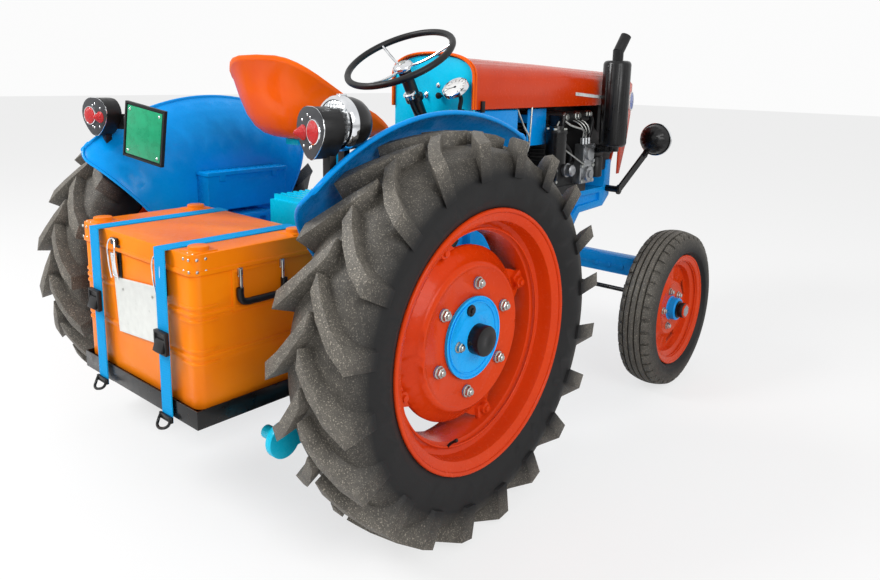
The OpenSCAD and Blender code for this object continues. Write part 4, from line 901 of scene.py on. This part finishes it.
turn = Matrix.Rotation(radians(gauge["needle"]), 4, "Z")
marks.append(setDown(slab(2.4, 34, 1.2, 0.3), placing @ turn @ local(0, 13, 4.2)))
marks.append(setDown(turned(gauge["pin"], 16), placing))
dress(marks, "gauge_marks", *black)
dress(setDown(spunRing(gauge["bezel"]), placing), "gauge_bezel", *chrome)

# plated knob in front of the steering column, on its own black stem
stemKnob = {"stem": [(16, 478, 1180), (18, 496, 1140), (16, 545, 1085), (6, 585, 1050)],
            "place": (16, 478, 1186), "aim": (0, -0.5, 0.866),
            "cap": [(13, -16), (13, -6), (20, -3), (24, 1), (24, 6), (20, 10), (9, 11)]}
dress(line(stemKnob["stem"], 9, 4), "knob_stem", *black)
cap = setDown(turned(stemKnob["cap"]), facing(stemKnob["place"], stemKnob["aim"]))
dress(cap, "stem_cap", *chrome)

# on the dash's rear face: light switch, key and the cover of a second lock
dashFace = {"switch": (46, 622, 1183), "switchStem": [(5, -2), (5, 12)],
            "switchKnob": [(9, 11), (12, 15), (12.5, 22), (10, 26), (5, 27.5)],
            "key": (-31, 622, 1183), "lock": [(12, -2), (12, 4), (9, 6)],
            "cover": (28, 622, 1221), "coverSteps": [(9, -2), (9, 3), (6, 5)]}
out = (0, -1, 0)
knob = joined([turned(dashFace["switchStem"], 12), turned(dashFace["switchKnob"], 20)])
dress(setDown(knob, facing(dashFace["switch"], out)), "light_switch", *plastic)
key = joined([turned(dashFace["lock"], 20), setDown(slab(4, 18, 24, 1.2), local(0, 0, 16))])
setDown(key, facing(dashFace["key"], out))
cover = setDown(turned(dashFace["coverSteps"], 20), facing(dashFace["cover"], out))
dress([key, cover], "starter_key", *chrome)
print("bonnet and dash details")

# Cold-air duct between the fan and the grille; its outline is (y, z)

duct = {"halfWidth": 146, "outline": [(1645, 817), (1770, 817), (1916, 1160), (1645, 1160)], "edge": 8}
toSide = Matrix(((0, 0, 1), (1, 0, 0), (0, 1, 0))).to_4x4()
piece = outlinePlate(duct["outline"], 2 * duct["halfWidth"], duct["edge"])
dress(setDown(piece, Matrix.Translation(spot(-duct["halfWidth"], 0, 0)) @ toSide), "air_duct", castIron, "engine_black")
print("duct")

# Engine details: fuel lines, hoses, studs, lift pump and relay. Lines and hoses are (points, radius)

pump = {"x": 176, "y": (1466, 1492, 1518), "top": 988}
fuelLines = [([(pump["x"], y, pump["top"]), (pump["x"] - 2, y, 1030), (150, y - 30 + 8 * k, 1064),
               (118, 1180 + 130 * k, 1075)], 3.2) for k, y in enumerate(pump["y"])]
fuelLines += [
    ([(205, 1190, 1056), (207, 1215, 1078), (214, 1290, 1056), (206, 1440, 1015), (176, 1466, 990)], 4.5),
    ([(200, 1275, 949), (200, 1360, 911), (196, 1457, 869)], 4),
    ([(184, 926, 1130), (190, 960, 1070), (196, 1000, 1008), (180, 1002, 940), (149, 1004, 872)], 4),
    ([(196, 1010, 1140), (197, 1004, 1060), (196, 1000, 1004)], 4)]
dress(joined([line(*row) for row in fuelLines]), "fuel_lines", *zinc)
hoses = [
    ([(108, 1300, 1010), (150, 1285, 1000), (186, 1300, 965), (184, 1345, 925), (151, 1385, 878)], 11),
    ([(205, 1190, 888), (206, 1198, 855), (190, 1225, 828), (151, 1262, 815)], 8),
    ([(149, 975, 862), (176, 1010, 872), (182, 1100, 850), (149, 1150, 815)], 9),
    ([(120, 1560, 1110), (168, 1548, 1075), (178, 1532, 1030), (176, 1518, 985)], 9),
    ([(-149, 975, 862), (-176, 1040, 872), (-182, 1200, 850), (-149, 1290, 815)], 9)]
dress(joined([line(*row, 4) for row in hoses]), "engine_hoses", *plastic)

fitting = {"places": ((154, 1431, 1091), (154, 1530, 1097), (154, 1330, 1088)),
           "steps": [(19, -4), (19, 6), (15, 9), (15, 18), (12, 21)]}
places = [facing(place, (1, 0, 0)) for place in fitting["places"]]
fittings = spread(turned(fitting["steps"], 6), places)
dress(fittings, "manifold_fittings", *zinc)

# on the fuel filter's head, the block, the pump and the bell housing
stud = {"steps": [(9, -1), (9, 5), (7.5, 7)],
        "head": [(205 + 36 * cos(a), 1190 + 36 * sin(a), 1042) for a in (0.4, 1.97, 3.54, 5.11)],
        "block": [(150, y, z) for y in (1180, 1290) for z in (800, 850)],
        "pump": [(188, y, z) for y in (1446, 1544) for z in (792, 862)],
        "bell": [(130, y, 620) for y in (960, 1080, 1200)]}
places = [facing(p, (0, 0, 1)) for p in stud["head"]]
places += [facing(p, (1, 0, 0)) for p in stud["block"] + stud["pump"]]
places += [facing(onSide(side, p), (side, 0, 0)) for side in sideNames for p in stud["bell"]]
studs = spread(turned(stud["steps"], 6), places)
dress(studs, "engine_studs", *zinc)

liftPump = {"place": (152, 1360, 850), "body": [(26, 0), (26, 40), (20, 46), (12, 48)], "collar": [(32, 10), (32, 16)]}
relay = {"place": (176, 1600, 800), "can": [(24, 0), (30, 4), (30, 92), (26, 98), (12, 99)]}
unit = joined([turned(liftPump["body"], 24), turned(liftPump["collar"], 24)])
setDown(unit, facing(liftPump["place"], (1, 0, 0)))
dress(unit, "lift_pump", castAluminium, "grey_metal")
can = setDown(turned(relay["can"], 28), facing(relay["place"], (0, 0, 1)))
dress(can, "starter_relay", *plastic)
print("engine details")

# Levers and pedals: fixed, they have no joint

pedal = {"arm": [(165, 430, 520), (168, 470, 560), (172, 505, 640)], "pivot": [(108, 430, 520), (170, 430, 520)],
         "radius": 9, "pad": (185, 510, 650), "aim": (0, -0.75, 0.66)}
pedals = []
for side in sideNames:
    pad = slab(74, 52, 9, 2, (5, -2))
    pedals.append(setDown(pad, facing(onSide(side, pedal["pad"]), pedal["aim"])))
    for path in (pedal["arm"], pedal["pivot"]):
        pedals.append(line([onSide(side, p) for p in path], pedal["radius"], 4))
dress(pedals, "pedals", *black)

# each lever is its points and radius, how far its knob is sunk on the end, and the knob's aim
handLevers = [([(20, 330, 690), (24, 322, 800), (30, 300, 905), (34, 296, 965)], 7, 3, (0.1, 0, 1)),
              ([(-34, 250, 690), (-40, 240, 780), (-52, 226, 860)], 6.5, 2, (-0.1, 0, 1)),
              ([(100, 90, 680), (158, 78, 790), (196, 96, 905)], 7, 2, (0.2, 0.3, 1))]
leverKnob = [(8, -3), (14, 4), (18, 13), (19, 22), (16, 32), (9, 38), (4, 39.5)]
levers = [line(points, radius, 4) for points, radius, sunk, aim in handLevers]
dress(levers, "hand_levers", *black)
places = [facing((points[-1][0], points[-1][1], points[-1][2] - sunk), aim)
          for points, radius, sunk, aim in handLevers]
dress(spread(turned(leverKnob, 24), places), "lever_knobs", *plastic)

tread = {"x": 250, "y": 350, "z": 462.5, "pitch": 31, "count": 9, "size": (150, 5, 4)}
places = [facing((side * tread["x"], tread["y"] + tread["pitch"] * k, tread["z"]), (0, 0, 1))
          for side in sideNames for k in range(tread["count"])]
treads = spread(slab(*tread["size"], 1, (1.4, 0.6)), places)
dress(treads, "footboard_treads", *black)
print("controls")

# Floor, lamps and surround

stage = {"lamps": {"keyLamp": ((-2.6, -4.2, 4.6), (0, 0, 0.6), 2.2, 270),
                   "fillLamp": ((4.5, -2.0, 3.0), (0, 0, 0.5), 3.0, 110)},
         "surround": (0.58, 0.97), "floorGlow": 0.7, "floorSize": 60}


def addStage():
    # pale studio floor; it glows a little for the camera alone
    bpy.ops.object.select_all(action="DESELECT")
    bpy.ops.mesh.primitive_plane_add(size=stage["floorSize"], location=(0, 0, 0))
    floor = bpy.context.object
    floor.name = "studioFloor"
    material, tree = blankMaterial("paleFloor")
    shader = addNode(tree, "BsdfDiffuse", {"Color": linear("#f0f0f0")})
    glow = addNode(tree, "Emission", {"Color": linear("#ffffff"), "Strength": 1.0})
    path = addNode(tree, "LightPath", {})
    settings = {"operation": "MULTIPLY", 1: stage["floorGlow"]}
    share = addNode(tree, "Math", settings, {0: path.outputs["Is Camera Ray"]})
    links = {0: share.outputs[0], 1: shader.outputs["BSDF"], 2: glow.outputs["Emission"]}
    both = addNode(tree, "MixShader", {}, links)
    addNode(tree, "OutputMaterial", {}, {"Surface": both.outputs["Shader"]})
    floor.data.materials.append(material)


def addLamp(name, place, aim, size, watts):
    data = bpy.data.lights.new(name, "AREA")
    data.shape = "DISK"
    data.size = size
    data.energy = watts
    obj = bpy.data.objects.new(name, data)
    turn = (Vector(aim) - Vector(place)).to_track_quat("-Z", "Y").to_matrix().to_4x4()
    obj.matrix_world = Matrix.Translation(Vector(place)) @ turn
    bpy.context.scene.collection.objects.link(obj)


def addWorld():
    # white where it is seen, mirrored or looked through, dimmer as a light
    world = bpy.data.worlds.new("studioWorld")
    bpy.context.scene.world = world
    world.use_nodes = True
    tree = world.node_tree
    tree.nodes.clear()
    rays = addNode(tree, "LightPath", {}).outputs
    seen = combined(tree, "MAXIMUM", rays["Is Camera Ray"], rays["Is Glossy Ray"])
    through = combined(tree, "MAXIMUM", seen, rays["Is Transmission Ray"])
    strength = spanned(tree, through, 0.0, 1.0, stage["surround"])
    glow = addNode(tree, "Background", {"Color": linear("#ffffff")}, {"Strength": strength})
    addNode(tree, "OutputWorld", {}, {"Surface": glow.outputs["Background"]})


addStage()
for name, row in stage["lamps"].items():
    addLamp(name, *row)
addWorld()
print("camera, lamps and floor")
